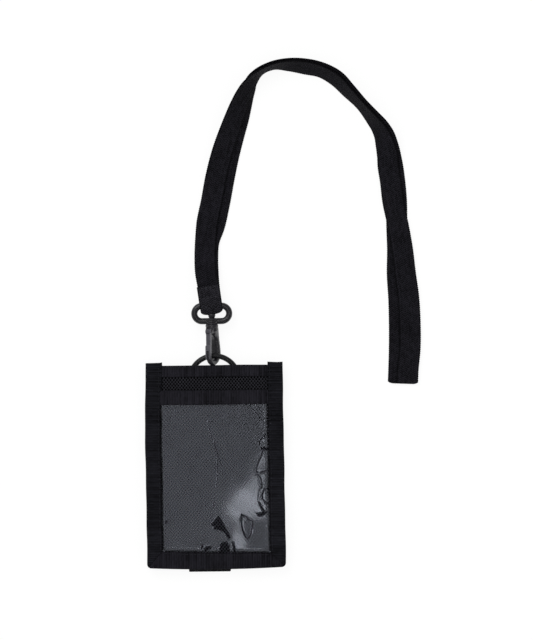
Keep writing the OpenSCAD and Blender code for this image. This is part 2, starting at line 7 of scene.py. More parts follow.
import bmesh
import bpy
import numpy as np
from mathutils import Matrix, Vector


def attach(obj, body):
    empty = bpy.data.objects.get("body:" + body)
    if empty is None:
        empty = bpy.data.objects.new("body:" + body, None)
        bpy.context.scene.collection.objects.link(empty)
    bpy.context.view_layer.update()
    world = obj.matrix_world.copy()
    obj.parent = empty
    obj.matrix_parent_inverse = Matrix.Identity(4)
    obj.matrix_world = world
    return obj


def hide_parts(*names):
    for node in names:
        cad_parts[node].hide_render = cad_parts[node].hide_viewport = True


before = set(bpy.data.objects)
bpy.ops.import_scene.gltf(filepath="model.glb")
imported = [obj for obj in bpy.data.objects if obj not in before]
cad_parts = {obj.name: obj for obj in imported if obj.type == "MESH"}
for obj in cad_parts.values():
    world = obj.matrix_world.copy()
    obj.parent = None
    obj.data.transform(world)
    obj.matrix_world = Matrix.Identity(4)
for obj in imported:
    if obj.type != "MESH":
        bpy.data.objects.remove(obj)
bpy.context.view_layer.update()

MM = 0.001
TURN = 2 * math.pi
rng = np.random.default_rng(11)

# ---------------------------------------------------------------- photograph's frame
PIXEL = 2 / 3  # millimetres on the table to one pixel
ROLL = math.radians(0.62)
FAR = 9.0  # a distance from any selvedge at which cloth has none of its marks
ORIGIN_PIXEL = (215.3, 467.0)
PHOTO_SIZE = (533, 640)
CAMERA_HEIGHT = 4000.0


def place(px, py):
    """The frame's x and y, in millimetres, of a pixel of the photograph."""
    x = (px - ORIGIN_PIXEL[0]) * PIXEL
    y = (ORIGIN_PIXEL[1] - py) * PIXEL
    return (x * math.cos(ROLL) + y * math.sin(ROLL), -x * math.sin(ROLL) + y * math.cos(ROLL))


def add_object(name, data):
    made = bpy.data.objects.new(name, data)
    bpy.context.scene.collection.objects.link(made)
    return made


def make_camera():
    x, y = place(PHOTO_SIZE[0] / 2, PHOTO_SIZE[1] / 2)
    data = bpy.data.cameras.new("camera")
    data.sensor_width = 36
    data.lens = data.sensor_width * CAMERA_HEIGHT / (PHOTO_SIZE[1] * PIXEL)
    data.clip_end = 20
    camera = add_object("camera", data)
    camera.location = (x * MM, y * MM, CAMERA_HEIGHT * MM)
    camera.rotation_euler = (0, 0, -ROLL)
    bpy.context.scene.camera = camera


make_camera()


# ---------------------------------------------------------------- shader helpers
class Shade:
    """A node tree with short calls for the nodes that it uses."""

    def __init__(self, name, blocks=bpy.data.materials, output="Material"):
        self.block = blocks.new(name)
        self.block.use_nodes = True
        self.tree = self.block.node_tree
        self.tree.nodes.clear()
        self.output = self.tree.nodes.new("ShaderNodeOutput" + output)

    def node(self, kind, values=(), **settings):
        made = self.tree.nodes.new("ShaderNode" + kind)
        for key, value in settings.items():
            setattr(made, key, value)
        for key, value in dict(values).items():
            self.feed(made.inputs[key], value)
        return made

    def feed(self, socket, value):
        if isinstance(value, bpy.types.NodeSocket):
            self.tree.links.new(value, socket)
        else:
            socket.default_value = value

    def math(self, operation, *terms, clamp=False):
        return self.node("Math", enumerate(terms), operation=operation, use_clamp=clamp).outputs[0]

    def total(self, first, *terms, clamp=False):
        """The sum of the terms; clamp keeps it from 0 to 1."""
        for k, term in enumerate(terms, 1):
            first = self.math("ADD", first, term, clamp=clamp and k == len(terms))
        return first

    def less(self, first, second):
        return self.math("SUBTRACT", first, second)

    def times(self, first, second):
        return self.math("MULTIPLY", first, second)

    def ratio(self, first, second):
        return self.math("DIVIDE", first, second)

    def sine(self, value, period):
        return self.math("SINE", self.times(value, TURN / period))

    def dimmed(self, share, mask, amount):
        """The share made smaller, by up to the amount where the mask is 1."""
        return self.times(share, self.less(1.0, self.times(mask, amount)))

    def span(self, value, low, high, out_low=0.0, out_high=1.0):
        ends = {"From Min": low, "From Max": high, "To Min": out_low, "To Max": out_high}
        return self.node("MapRange", {"Value": value, **ends}).outputs[0]

    def spread(self, value, amount, reach=0.2):
        """From minus the amount to the amount, as the value goes from reach below 0.5 to reach above it."""
        return self.span(value, 0.5 - reach, 0.5 + reach, -amount, amount)

    def blend(self, share, first, second):
        return self.node("Mix", {0: share, 6: first, 7: second}, data_type="RGBA").outputs[2]

    def tones(self, share, colour, dark, light):
        """From dark times the colour to light times the colour."""
        return self.blend(share, scaled(colour, dark), scaled(colour, light))

    def place(self):
        """The piece's own coordinates, in metres."""
        return self.node("TexCoord").outputs["Object"]

    def point(self, x, y):
        return self.node("CombineXYZ", {0: x, 1: y}).outputs[0]

    def parts(self, vector):
        return tuple(self.node("SeparateXYZ", {0: vector}).outputs)

    def noise(self, scale, detail, vector=None):
        if vector is None:
            vector = self.place()
        return self.node("TexNoise", {"Scale": scale, "Detail": detail, "Vector": vector}).outputs["Fac"]

    def cells(self, first, second):
        """A random number for each whole pair of the two values."""
        where = self.point(self.math("FLOOR", first), self.math("FLOOR", second))
        return self.node("TexWhiteNoise", {"Vector": where}, noise_dimensions="3D").outputs["Value"]

    def cloth(self):
        """Length along the tape, distance across it and distance from its edge, in millimetres."""
        return self.parts(self.node("Attribute", attribute_name="cloth").outputs["Vector"])

    def surface(self, colour, rough, shine, relief, depth, more=()):
        """Finishes the material with one shader, whose relief is depth millimetres deep."""
        bump = self.node("Bump", {"Height": relief, "Distance": depth * MM, "Strength": 1.0})
        values = {"Base Color": colour, "Roughness": rough, "Specular IOR Level": shine}
        values.update(more, Normal=bump.outputs[0])
        return self.finish(self.node("BsdfPrincipled", values))

    def mix(self, share, first, second):
        return self.node("MixShader", {0: share, 1: first.outputs[0], 2: second.outputs[0]})

    def finish(self, shader):
        self.tree.links.new(shader.outputs[0], self.output.inputs["Surface"])
        return self.block


WHITE = (1, 1, 1, 1)
YARN = 0.85  # width of a float in the webbing
SELVEDGE_LOOP = 1.3  # of the webbing's woven edge
WARP_ROW = 1.8  # between the raised rows along the webbing
RIB = 1.12  # of the grosgrain tape


def grey(r, g, b):
    """A colour given as the 8-bit values it shows, from 11 up, as linear light."""
    return tuple(((v / 255 + 0.055) / 1.055) ** 2.4 for v in (r, g, b)) + (1.0,)


def scaled(colour, factor):
    return tuple(factor * c for c in colour[:3]) + (1.0,)


def cloth_surface(s, colour, share, relief, depth, worn, shine=0.06, rough=0.7):
    rough = s.span(worn, 0.3, 0.7, rough - 0.07, rough + 0.07)
    sheen = {"Sheen Weight": 0.006, "Sheen Roughness": 0.5}
    return s.surface(s.tones(share, colour, 0.25, 2.1), rough, shine, relief, depth, sheen)


def webbing(name, colour, pitch=1.5, chevron=3.4, depth=0.16):
    """Herringbone webbing: slanted floats that turn at each chevron, uneven yarns, and painted light and
    shade: lighter raised floats, dark selvedges and a highlight just inside them.
    """
    s = Shade(name)
    along, across, inset = s.cloth()
    turned = s.math("PINGPONG", across, chevron / 2)
    phase = s.total(s.ratio(along, pitch), s.times(turned, YARN / pitch))
    wave = s.sine(phase, 1)
    float_tone = s.cells(phase, s.ratio(across, YARN))
    streak = s.noise(1.0, 3, s.point(s.times(along, 0.05), s.times(across, 1.1)))
    worn = s.noise(70, 4)
    fuzz = s.noise(2300, 2)
    # the wave's crests lighter and its troughs darker: painted light and shade of the floats' relief
    share = s.total(s.span(wave, -1, 1, 0.06, 0.66), s.span(float_tone, 0, 1, -0.18, 0.24),
                    s.spread(streak, 0.12), s.spread(worn, 0.1), s.spread(fuzz, 0.06, 0.15), clamp=True)
    # the selvedges darker, along their woven loops: painted shade
    loops = s.sine(along, SELVEDGE_LOOP)
    share = s.dimmed(share, s.span(s.less(inset, s.times(loops, 0.12)), 0.95, 0.35), 0.85)
    # a lighter line just inside each selvedge: painted highlight
    rim = s.span(s.math("ABSOLUTE", s.less(inset, 1.35)), 0.4, 0.0, 0.0, 0.14)
    share = s.total(share, rim, clamp=True)
    return cloth_surface(s, colour, share, s.total(wave, s.times(fuzz, 0.5)), depth, worn)


def ribbed_tape(name, colour):
    """Grosgrain tape: ribs across its width, each a little different, fine warp yarns and uneven dye, with
    painted light and shade: lighter rib crests, darker hollows and darker edges.
    """
    s = Shade(name)
    along, across, inset = s.cloth()
    phase = s.total(s.ratio(along, RIB), s.times(s.noise(55, 2), 0.8))
    wave = s.sine(phase, 1)
    rib_tone = s.cells(phase, 0.0)
    part_tone = s.cells(phase, s.ratio(across, 2.6))
    warp = s.sine(across, 0.4)
    worn = s.noise(65, 4)
    fuzz = s.noise(2300, 2)
    # the ribs' crests lighter and their hollows darker: painted light and shade of the relief
    share = s.total(s.span(wave, -1, 1, 0.14, 0.5), s.spread(rib_tone, 0.13, 0.5),
                    s.span(part_tone, 0, 1, -0.08, 0.1), s.spread(worn, 0.12), s.spread(fuzz, 0.06, 0.15),
                    clamp=True)
    # darker along the tape's edges: painted shade
    share = s.dimmed(share, s.span(inset, 0.55, 0.1), 0.7)
    return cloth_surface(s, colour, share, s.total(wave, s.times(s.total(warp, fuzz), 0.25)), 0.12, worn)


def plain_cloth(name, colour, yarn=0.55):
    """Plain weave: yarns over and under one another, in squares."""
    s = Shade(name)
    along, across, _ = s.cloth()
    check = s.times(s.sine(along, 2 * yarn), s.sine(across, 2 * yarn))
    tone = s.cells(s.ratio(along, yarn), s.ratio(across, yarn))
    worn = s.noise(60, 4)
    # the weave's check in lighter and darker squares, following its relief: painted light and shade
    share = s.total(s.span(check, -1, 1, 0.15, 0.5), s.span(tone, 0, 1, -0.15, 0.2), s.spread(worn, 0.12),
                    clamp=True)
    return cloth_surface(s, colour, share, check, 0.07, worn, 0.04, 0.75)


def plastic(name, colour, rough, shine, wear=0.5):
    """Moulded plastic: fine grain, faint flow marks and lighter rubbed edges."""
    s = Shade(name)
    grain = s.noise(4200, 3)
    cloud = s.noise(180, 3)
    edge = s.span(s.node("NewGeometry").outputs["Pointiness"], 0.505, 0.56)
    tone = s.tones(s.span(cloud, 0.3, 0.7), colour, 0.7, 1.3)
    tone = s.blend(s.times(edge, wear), tone, scaled(colour, 2.4))
    rough = s.span(cloud, 0.3, 0.7, rough - 0.06, rough + 0.08)
    return s.surface(tone, rough, shine, s.total(s.times(grain, 0.6), s.times(cloud, 0.8)), 0.05)


def thread_material(name, dark, light):
    s = Shade(name)
    along, across, _ = s.cloth()
    ply = s.math("SINE", s.total(s.times(along, 9.0), across))
    # the plies lighter on their crests and darker between them: painted light and shade of the twist
    return s.surface(s.blend(s.span(ply, -1, 1), dark, light), 0.6, 0.15, ply, 0.04)


# the net's darkening in the strip above the pocket's mouth is painted shade of the raised tapes round it
STRIP_SHADE = (45, 50)  # y between which the net grows darker upwards, hidden by the mouth's tape


def net_material():
    s = Shade("net_yarn")
    lines = s.noise(3000, 2)
    cloud = s.noise(110, 3)
    tone = s.blend(s.span(lines, 0.3, 0.7), grey(42, 42, 47), grey(80, 79, 88))
    tone = s.blend(s.span(cloud, 0.35, 0.65, 0.0, 0.3), tone, grey(37, 37, 42))
    # the net darker towards its top: painted shade of the tapes round the strip
    above = s.span(s.parts(s.place())[1], STRIP_SHADE[0] * MM, STRIP_SHADE[1] * MM)
    tone = s.blend(s.times(above, 0.3), tone, grey(20, 20, 23))
    return s.surface(tone, 0.55, 0.12, lines, 0.05)


def film_material(name, index, rough, clear_share, shade):
    """Clear soft film with faint haze and scuffs; a smaller shade makes it darker."""
    s = Shade(name)
    haze = s.noise(70, 4)
    dull = s.noise(400, 3)
    rub = s.total(s.span(haze, 0.3, 0.7, rough - 0.02, rough + 0.01), s.spread(dull, 0.006))
    tone = s.blend(haze, scaled((0.9, 0.91, 0.94), shade), scaled((0.94, 0.95, 0.965), shade))
    glass = s.node("BsdfPrincipled", {"Base Color": tone, "Transmission Weight": clear_share, "IOR": index,
                                      "Roughness": rub, "Specular Tint": (0.84, 0.89, 1.0, 1)})
    clear = s.node("BsdfTransparent", {"Color": (0.93, 0.94, 0.95, 1)})
    return s.finish(s.mix(s.node("LightPath").outputs["Is Shadow Ray"], glass, clear))


def floor_material():
    """White to the camera and in reflections, and still with a part of the object's shadow."""
    s = Shade("floor")
    path = s.node("LightPath").outputs
    mirrored = s.math("MAXIMUM", path["Is Glossy Ray"], path["Is Transmission Ray"])
    seen = s.math("MAXIMUM", path["Is Camera Ray"], mirrored)
    matt = s.node("BsdfDiffuse", {"Color": s.blend(s.noise(3, 2), scaled(WHITE, 0.62), scaled(WHITE, 0.65))})
    white = s.node("Emission", {"Color": WHITE, "Strength": 1.12})
    return s.finish(s.mix(s.times(seen, 0.8), matt, white))


# ---------------------------------------------------------------- mesh helpers
STRAP_THICK = 1.2


def grid(x, y, z):
    """Points, or cloth coordinates, of a grid, from tables, rows, columns and single numbers."""
    return np.stack(np.broadcast_arrays(x, y, z), -1)


def grid_faces(rows, columns, start=0, closed=False, flip=False):
    """Quads between neighbours of a grid of points; closed joins the last column to the first."""
    index = start + np.arange(rows * columns).reshape(rows, columns)
    if closed:
        index = np.column_stack([index, index[:, 0]])
    quads = np.stack([index[:-1, :-1], index[:-1, 1:], index[1:, 1:], index[1:, :-1]], -1).reshape(-1, 4)
    return (quads[:, ::-1] if flip else quads).tolist()


def tube_faces(rows, count, flip=True):
    """Faces of a tube through rows of count points, closed at both ends."""
    ends = [list(range(count)), list(range((rows - 1) * count, rows * count))[::-1]]
    return grid_faces(rows, count, closed=True, flip=flip) + [e if flip else e[::-1] for e in ends]


def join(forms):
    """One list of points and one of faces from several forms."""
    points, faces = [], []
    for form in forms:
        faces += [[len(points) + i for i in face] for face in form[1]]
        points += list(form[0])
    return points, faces


def add_mesh(name, points, faces):
    """An object of one mesh, from millimetre points."""
    mesh = bpy.data.meshes.new(name)
    mesh.from_pydata((np.reshape(points, (-1, 3)) * MM).tolist(), [], faces)
    return add_object(name, mesh)


def settle(piece, body, material, node):
    """Gives a piece smooth shading, its material and its body, and hides the CAD part that it stands for."""
    mesh = piece.data
    mesh.polygons.foreach_set("use_smooth", [True] * len(mesh.polygons))
    mesh.materials.append(material)
    mesh.update()
    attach(piece, body)
    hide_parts(node)
    return piece


def add_piece(name, points, faces, body, material, node, cloth=None, merge=False):
    """Makes one mesh piece from millimetre points, and puts it on its body."""
    piece = add_mesh(name, points, faces)
    mesh = piece.data
    if cloth is not None:
        values = np.asarray(cloth, np.float32).ravel()
        mesh.attributes.new("cloth", "FLOAT_VECTOR", "POINT").data.foreach_set("vector", values)
    if merge:
        work = bmesh.new()
        work.from_mesh(mesh)
        bmesh.ops.remove_doubles(work, verts=work.verts, dist=0.004 * MM)
        bmesh.ops.recalc_face_normals(work, faces=work.faces)
        work.to_mesh(mesh)
        work.free()
    return settle(piece, body, material, node)


def smooth_step(t):
    t = np.clip(t, 0, 1)
    return t * t * (3 - 2 * t)


def bell(x):
    return np.exp(-x ** 2)


def running_length(points):
    """Length of the line through the points, up to each of them."""
    return np.concatenate([[0], np.cumsum(np.linalg.norm(np.diff(points, axis=0), axis=1))])


def directions(points):
    """The line's way at each point, of length 1."""
    way = np.gradient(points, axis=0)
    return way / np.linalg.norm(way, axis=1)[:, None]


def resample(points, spacing):
    """The same path with stations at an even spacing."""
    points = np.asarray(points, float)
    run = running_length(points)
    at = np.linspace(0, run[-1], int(round(run[-1] / spacing)) + 1)
    return np.stack([np.interp(at, run, column) for column in points.T], 1)


def arc(cx, cy, radius, start, end, steps):
    turn = np.radians(np.linspace(start, end, steps))
    return [(cx + radius * math.cos(t), cy + radius * math.sin(t)) for t in turn]


def band_section(half, columns):
    """Closed section of a flat strap, side to side at a and through it at b, with rounded edges."""
    r = STRAP_THICK / 2
    flat = np.linspace(r - half, half - r, columns)
    turn = np.radians([45, 0, -45])
    a = np.concatenate([flat, half - r + r * np.cos(turn)])
    b = np.concatenate([np.full(columns, r), r * np.sin(turn)])
    return np.concatenate([a, -a]), np.concatenate([b, -b])


def sweep_band(centres, sides, normals, half, columns, scallop, relief):
    """Points, faces and cloth coordinates of a strap; scallop is the depth of its woven edge."""
    a, b = band_section(half, columns)
    run = running_length(centres)[:, None]
    edge = np.abs(a) / half
    wave = np.cos(run * TURN / SELVEDGE_LOOP) * scallop * edge ** 8
    wide = a + np.sign(a) * (wave - scallop)
    high = b + np.sign(b) * relief * np.cos(a * TURN / WARP_ROW) * (edge < 0.93)
    points = centres[:, None] + sides[:, None] * wide[..., None] + normals[:, None] * high[..., None]
    return points, tube_faces(len(run), len(a)), grid(run, a, half - np.abs(a))


def fold_strap(name, path, half, columns, relief, shape, body, material, node):
    """A strap along a path of y and height, with its outline by shape."""
    centres = np.column_stack([np.zeros(len(path)), path])
    sides = np.repeat([[1.0, 0, 0]], len(path), 0)
    normals = np.cross(sides, directions(centres))
    points, faces, cloth = sweep_band(centres, sides, normals, half, columns, 0.14, relief)
    add_piece(name, shape(points), faces, body, material, node, cloth)


# ---------------------------------------------------------------- materials
WEBBING = webbing("lanyard_webbing", grey(26, 25, 30))
SLEEVE_WEBBING = webbing("sleeve_webbing", grey(36, 35, 40))
BELT_WEBBING = webbing("belt_webbing", grey(13, 12, 16), pitch=1.8, chevron=4.6, depth=0.2)
TAPE = ribbed_tape("binding_tape", grey(27, 27, 32))
# the binding tape made lighter for the bottom edge: painted light, as its ribs lie another way to the light
# than the sides'
BOTTOM_TAPE_PAINTED_LIGHT = ribbed_tape("bottom_tape_painted_light", grey(32, 31, 37))
MOUTH_TAPE = ribbed_tape("mouth_tape", grey(34, 33, 39))
# black cloth, made darker still: painted shade of the pocket's depth, as seen through the net's gaps
PANEL_CLOTH_AND_SHADE = plain_cloth("panel_cloth", grey(11, 11, 13))
THREAD = thread_material("thread", grey(14, 14, 17), grey(46, 46, 52))
SLEEVE_THREAD = thread_material("sleeve_thread", grey(34, 33, 37), grey(78, 76, 84))
NET = net_material()
FILM = film_material("clear_film", 1.55, 0.105, 0.9995, 0.975)
WET_FILM = film_material("clinging_film", 1.03, 0.1, 1.0, 0.78)
HOOK_PLASTIC = plastic("hook_plastic", grey(33, 32, 37), 0.36, shine=0.65)
EYE_PLASTIC = plastic("eye_plastic", grey(23, 22, 27), 0.34, shine=0.65)
# the hook's plastic made lighter for the gate: painted light, as the gate's arm faces up to the light
GATE_PLASTIC_PAINTED_LIGHT = plastic("gate_plastic_painted_light", grey(76, 75, 82), 0.34, shine=0.8)
RING_PLASTIC = plastic("ring_plastic", grey(17, 17, 20), 0.38, wear=0.3, shine=0.4)


# ---------------------------------------------------------------- lanyard
HOOK_Z = 6.716
LANYARD_HALF = 7.25
LEG_STEP = (STRAP_THICK + 0.5) / 2
# x, y, height of the middle as a share of the hook's height, roll in degrees, spread of the two legs
ROUTE = np.array([
    [-1.8, 110.5, 1, 0, 0], [-3.2, 121, 1, 0, 0.6], [-4.2, 130, 0.84, 0, 1.6], [-4.4, 140, 0.6, 0, 1.7],
    [-3.8, 150, 0.38, 0, 2.1], [-1.5, 160.7, 0.25, 0, 5], [2.1, 176.7, 0, 0, 5.4], [5.2, 192.6, 0, -6, 5.7],
    [9.1, 208.6, 0, -13, 5.5], [14, 223.9, 0, -24, 5.4], [17, 232.4, 0, -31, 5.5], [19.8, 240.6, 0, -40, 5.6],
    [22.4, 247.5, 0, -46.5, 4.8], [25.6, 254.1, 0, -54, 3.2], [28.1, 258.5, 0, -64.5, 1.5],
    [31.5, 262.3, 0, -75, 0.3], [41.4, 267, 0, -77, 0], [52, 267.4, 0, -63, 0], [62.7, 266.1, 0, -55, -0.5],
    [73.3, 263.7, 0, -58.5, -1.2], [83.3, 258.1, 0, -57, -1.8], [91.6, 249.6, 0, -61.5, -1.7],
    [100, 240.6, 0, -68, -1.6], [107.9, 230.9, 0, -59, -1.7], [111.9, 225.6, 0, -51, -1.8],
    [114.9, 219.8, 0, -40, -1.7], [116.6, 213.5, 0, -26, -1.6], [117.9, 206.8, 0, -12, -1.8],
    [118.8, 199.4, 0, -6, -2.8], [120, 191, 0, 0, -2.8], [121.5, 175.4, 0, 0, -2.3],
    [123.2, 159.3, 0, 0, 0.9], [124.7, 143.3, 0, 0, 3.2], [125.4, 127.3, 0, 0, 5.3],
    [126.8, 111.3, 0, 0, 6.5], [127.3, 95.3, 0, 0, 7], [127.1, 78, 0, 0, 7], [126, 62, 0, 0, 6],
    [125.7, 55.6, 0, 0, 6]])


def smooth_route(table, spacing):
    """A curve through every row of the table, with rows at about an even spacing along it."""
    run = running_length(table[:, :2])
    slope = np.gradient(table, run, axis=0)
    at = np.linspace(0, run[-1], int(run[-1] / spacing) + 1)
    i = np.clip(np.searchsorted(run, at, side="right") - 1, 0, len(run) - 2)
    gap = (run[i + 1] - run[i])[:, None]
    t = (at - run[i])[:, None] / gap
    share = smooth_step(t)
    return ((1 - share) * table[i] + share * table[i + 1]
            + gap * t * (1 - t) * ((1 - t) * slope[i] - t * slope[i + 1]))


def lanyard_legs():
    rows = smooth_route(ROUTE, 0.33)
    x, y, share, roll, spread = rows.T
    ahead = directions(rows[:, :2])
    sine, cosine = np.sin(np.radians(roll)), np.cos(np.radians(roll))
    across = grid(ahead[:, 1], -ahead[:, 0], 0)
    up = np.array([0, 0, 1.0])
    lie = (LANYARD_HALF * np.abs(sine) + STRAP_THICK / 2 * cosine
           + np.abs(LEG_STEP * cosine - spread / 2 * sine))
    middle = grid(x, y, np.maximum(share * HOOK_Z, lie))
    side = across * cosine[:, None] + up * sine[:, None]
    normal = up * cosine[:, None] - across * sine[:, None]
    for name, sign, node in (("lanyard_strap_under", -1, "lanyard_lower_leg"),
                             ("lanyard_strap_over", 1, "lanyard_upper_leg")):
        centres = middle - side * sign * spread[:, None] / 2 + normal * sign * LEG_STEP
        sides, normals = side, normal
        if sign > 0:
            turn = np.radians(np.linspace(0, 180, 19)[1:])[:, None]
            out = normal[-1] * np.cos(turn) + np.append(ahead[-1], 0) * np.sin(turn)
            fold = middle[-1] - side[-1] * spread[-1] / 2 * np.cos(turn) + out * LEG_STEP
            centres = np.concatenate([centres, fold])
            sides = np.concatenate([sides, np.repeat(side[-1:], len(turn), 0)])
            normals = np.concatenate([normals, out])
        points, faces, cloth = sweep_band(centres, sides, normals, LANYARD_HALF, 17, 0.16, 0.035)
        piece = add_piece(name, points, faces, "lanyard", WEBBING, node, cloth)


lanyard_legs()

# ---------------------------------------------------------------- wallet's layers
HALF_X, LOW_Y, TOP_Y = 46.0, -67.0, 67.0
EAR = 2.2
BIND = 10.2
OPEN_X = HALF_X - BIND
OPEN_LOW = LOW_Y + BIND
PANEL_Z, NET_Z, FILM_Z = 6.7, 7.6, 8.2
NET_RISE, FILM_RISE = 0.8, 1.6
NET_SLOPE, FILM_SLOPE = 5.0, 2.6
NET_LOW, NET_EDGE, NET_TOP = 0.08, 0.27, 0.5  # heights of a yarn's underside, sides and middle line
FILM_THICK, CLING_DEPTH = 0.33, 0.12
MOUTH_Y, MOUTH_LOW, TOP_TAPE_LOW = 51.3, 41.7, 60.1


def raised(x, y, slope):
    """0 under the bindings and 1 over the pocket's face, from slope millimetres inside its border."""
    return smooth_step((OPEN_X - np.abs(x)) / slope) * smooth_step((y - OPEN_LOW) / slope)


EDGE_Y = (67.0, 45.0, 8.0, -52.0)
LEFT_EDGE = np.polyfit(EDGE_Y, (45.5, 46.2, 46.4, 45.95), 3)
RIGHT_EDGE = np.polyfit(EDGE_Y, (45.6, 45.7, 45.95, 46.4), 3)


def drape(points):
    """The sewn wallet's small departures from its pattern: taper, wavy edges, bowed bottom, waves."""
    p = np.array(points, float)
    x, y = p[..., 0].copy(), p[..., 1].copy()
    edge = np.clip(np.abs(x) / HALF_X, 0, 1.1) ** 2
    at = np.clip(y, -64, 67)
    reach = np.where(x < 0, np.polyval(LEFT_EDGE, at), np.polyval(RIGHT_EDGE, at))
    wave = 0.07 * np.sin(y / 9.0 + 0.6 * np.sign(x)) + 0.08 * np.sin(y / 4.3 + 1.7 * np.sign(x))
    p[..., 0] = x * reach / HALF_X + np.sign(x) * edge * wave
    low = smooth_step((LOW_Y + 34 - y) / 34)
    high = smooth_step((y - 58) / 8)
    inner = smooth_step((37 - np.abs(x)) / 2)
    lift = np.clip((30 - x) / 66, 0, 1) * smooth_step((y - LOW_Y) / 10) * smooth_step((-35 - y) / 18)
    p[..., 1] = (y - 0.95 * (1 - edge) * low + 0.25 * edge * low + 1.5 * lift
                 + high * (0.5 + 0.45 * inner + 0.2 * inner * bell((x - 17) / 12)))
    p[..., 2] = p[..., 2] + 0.14 * np.sin(x / 15.0 + 0.5) * np.sin(y / 19.0) * (1 - edge)
    return p


def sheet_between(xs, ys, top, bottom):
    """Closed thin sheet between two height grids over xs by ys, and its cloth coordinates."""
    gx, gy = np.meshgrid(xs, ys)
    rows, columns = gx.shape
    n = rows * columns
    faces = grid_faces(rows, columns) + grid_faces(rows, columns, n, flip=True)
    index = np.arange(n).reshape(rows, columns)
    rim = np.concatenate([index[0], index[1:, -1], index[-1, -2::-1], index[-2:0:-1, 0]]).tolist()
    faces += [[a, a + n, b + n, b] for a, b in zip(rim, rim[1:] + rim[:1])]
    cloth = grid(gy, gx, FAR)
    return np.stack([grid(gx, gy, top), grid(gx, gy, bottom)]), faces, np.stack([cloth, cloth])


def make_back_cloth():
    xs, ys = np.linspace(-44.4, 44.4, 112), np.linspace(-65.4, TOP_Y - 0.1, 166)
    gx, gy = np.meshgrid(xs, ys)
    ripple = 0.06 * np.sin(gx / 6.3 + 0.7 * np.sin(gy / 11)) * np.sin(gy / 8.7) * (np.abs(gx) < OPEN_X)
    points, faces, cloth = sheet_between(xs, ys, PANEL_Z + 0.82 + ripple, PANEL_Z + 0.06 + ripple)
    return add_piece("back_cloth", drape(points), faces, "wallet", PANEL_CLOTH_AND_SHADE, "back_panel", cloth)


def make_net():
    """Knitted net: diamonds of yarn with a raised middle line, one ring of faces to a gap."""
    pitch, row_pitch = 2.12, 1.25
    gap_x, gap_y = 0.82, 0.93  # half of a gap
    half, low_y, high_y = 36.6, OPEN_LOW - 1.2, 66.2
    columns = int(2 * half / pitch)
    rows = int((high_y - low_y) / row_pitch)
    index, points, faces = {}, [], []

    def middle(i, j):
        return (i + 1) * pitch / 2 - half, low_y + j * row_pitch

    def height(x, y):
        bulge = 0.1 * math.sin(x / 9.5 + 1.2) * math.sin(y / 12.0)
        return NET_Z + (NET_RISE + bulge) * float(raised(x, y, NET_SLOPE))

    def corner(i, j, top):
        if (i, j, top) not in index:
            x, y = middle(i, j)
            index[i, j, top] = len(points)
            points.append((x, y, height(x, y) + (NET_TOP if top else NET_LOW)))
        return index[i, j, top]

    for j in range(1, rows):
        for i in range(1 + (j % 2), 2 * columns, 2):
            x, y = middle(i, j)
            around = [(i + 1, j), (i, j + 1), (i - 1, j), (i, j - 1)]
            base = len(points)
            sway = rng.normal(0, 0.02, 2)
            for dx, dy in ((gap_x, 0), (0, gap_y), (-gap_x, 0), (0, -gap_y)):
                px, py = x + dx + sway[0], y + dy + sway[1]
                points.append((px, py, height(px, py) + NET_EDGE))
            for k in range(4):
                m = (k + 1) % 4
                faces.append([corner(*around[k], True), corner(*around[m], True), base + m, base + k])
                faces.append([corner(*around[m], False), corner(*around[k], False), base + k, base + m])
    return add_piece("net_panel", drape(points), faces, "wallet", NET, "mesh_panel")


def traced(pixels):
    """Points, in millimetres, of pixels of the photograph that are given as "x,y x,y"."""
    return [place(*(float(v) for v in pixel.split(","))) for pixel in pixels.split()]


def line_field(gx, gy, line):
    """Distance from each grid point to a line."""
    best = np.full(gx.shape, 1e9)
    for (x0, y0), (x1, y1) in zip(line, line[1:]):
        dx, dy = x1 - x0, y1 - y0
        t = np.clip(((gx - x0) * dx + (gy - y0) * dy) / (dx * dx + dy * dy + 1e-9), 0, 1)
        best = np.minimum(best, np.hypot(gx - x0 - t * dx, gy - y0 - t * dy))
    return best


def blob_field(gx, gy, px, py, rx, ry, turn):
    """0 at the middle of an ellipse and 1 on its edge; the radii are in pixels."""
    cx, cy = place(px, py)
    c, s = math.cos(math.radians(turn)), math.sin(math.radians(turn))
    dx, dy = (gx - cx) / PIXEL, (gy - cy) / PIXEL
    return np.hypot((dx * c + dy * s) / rx, (-dx * s + dy * c) / ry)


TIP_SLOPE = 0.053
TIPPED = (  # middle and radii of a patch in pixels, its turn in degrees and its share of the slope
    (247.5, 503, 20, 14, 46, 1), (240, 541, 17, 7.5, 82, 1), (262, 511, 9, 8, 0, 1),
    (257, 474, 18, 6, 72, 0.3), (266.8, 491, 4, 2, 0, 1), (268.8, 462, 1.6, 4.5, 0, 1),
    (265, 438, 4.5, 5, 0, 0.45), (263.5, 458, 5, 8, 15, 0.3), (265, 476, 4.5, 5, 0, 0.3),
    (266, 497, 4, 5, 0, 0.3))
LESS_TIPPED = (247, 528, 5, 12, 8)  # a patch among them that lies flatter
SLACK_MIDDLE = (250, 505)  # pixel about which the film rises before it tips
CREASES = (  # line through pixels of the photograph, height and half width in millimetres
    ("266,430 262.5,436 259,440 258,445 260.5,450 262.5,452.5 261,457 257.5,462 255.5,468 257,474.5 "
     "260.5,479 262,486", 0.1, 0.75),
    ("259.5,472.5 265,470.5 269.5,469", -0.08, 0.7),
    ("262,486 259.5,492 258.5,499", 0.06, 0.7),
    ("270,488 264.5,488.5 262,493 262,499 266,503.5 270,502", 0.1, 0.7),
    ("241,519 246,517 252,521 251,531 247,537 243,530 241,519", 0.1, 0.8),
)
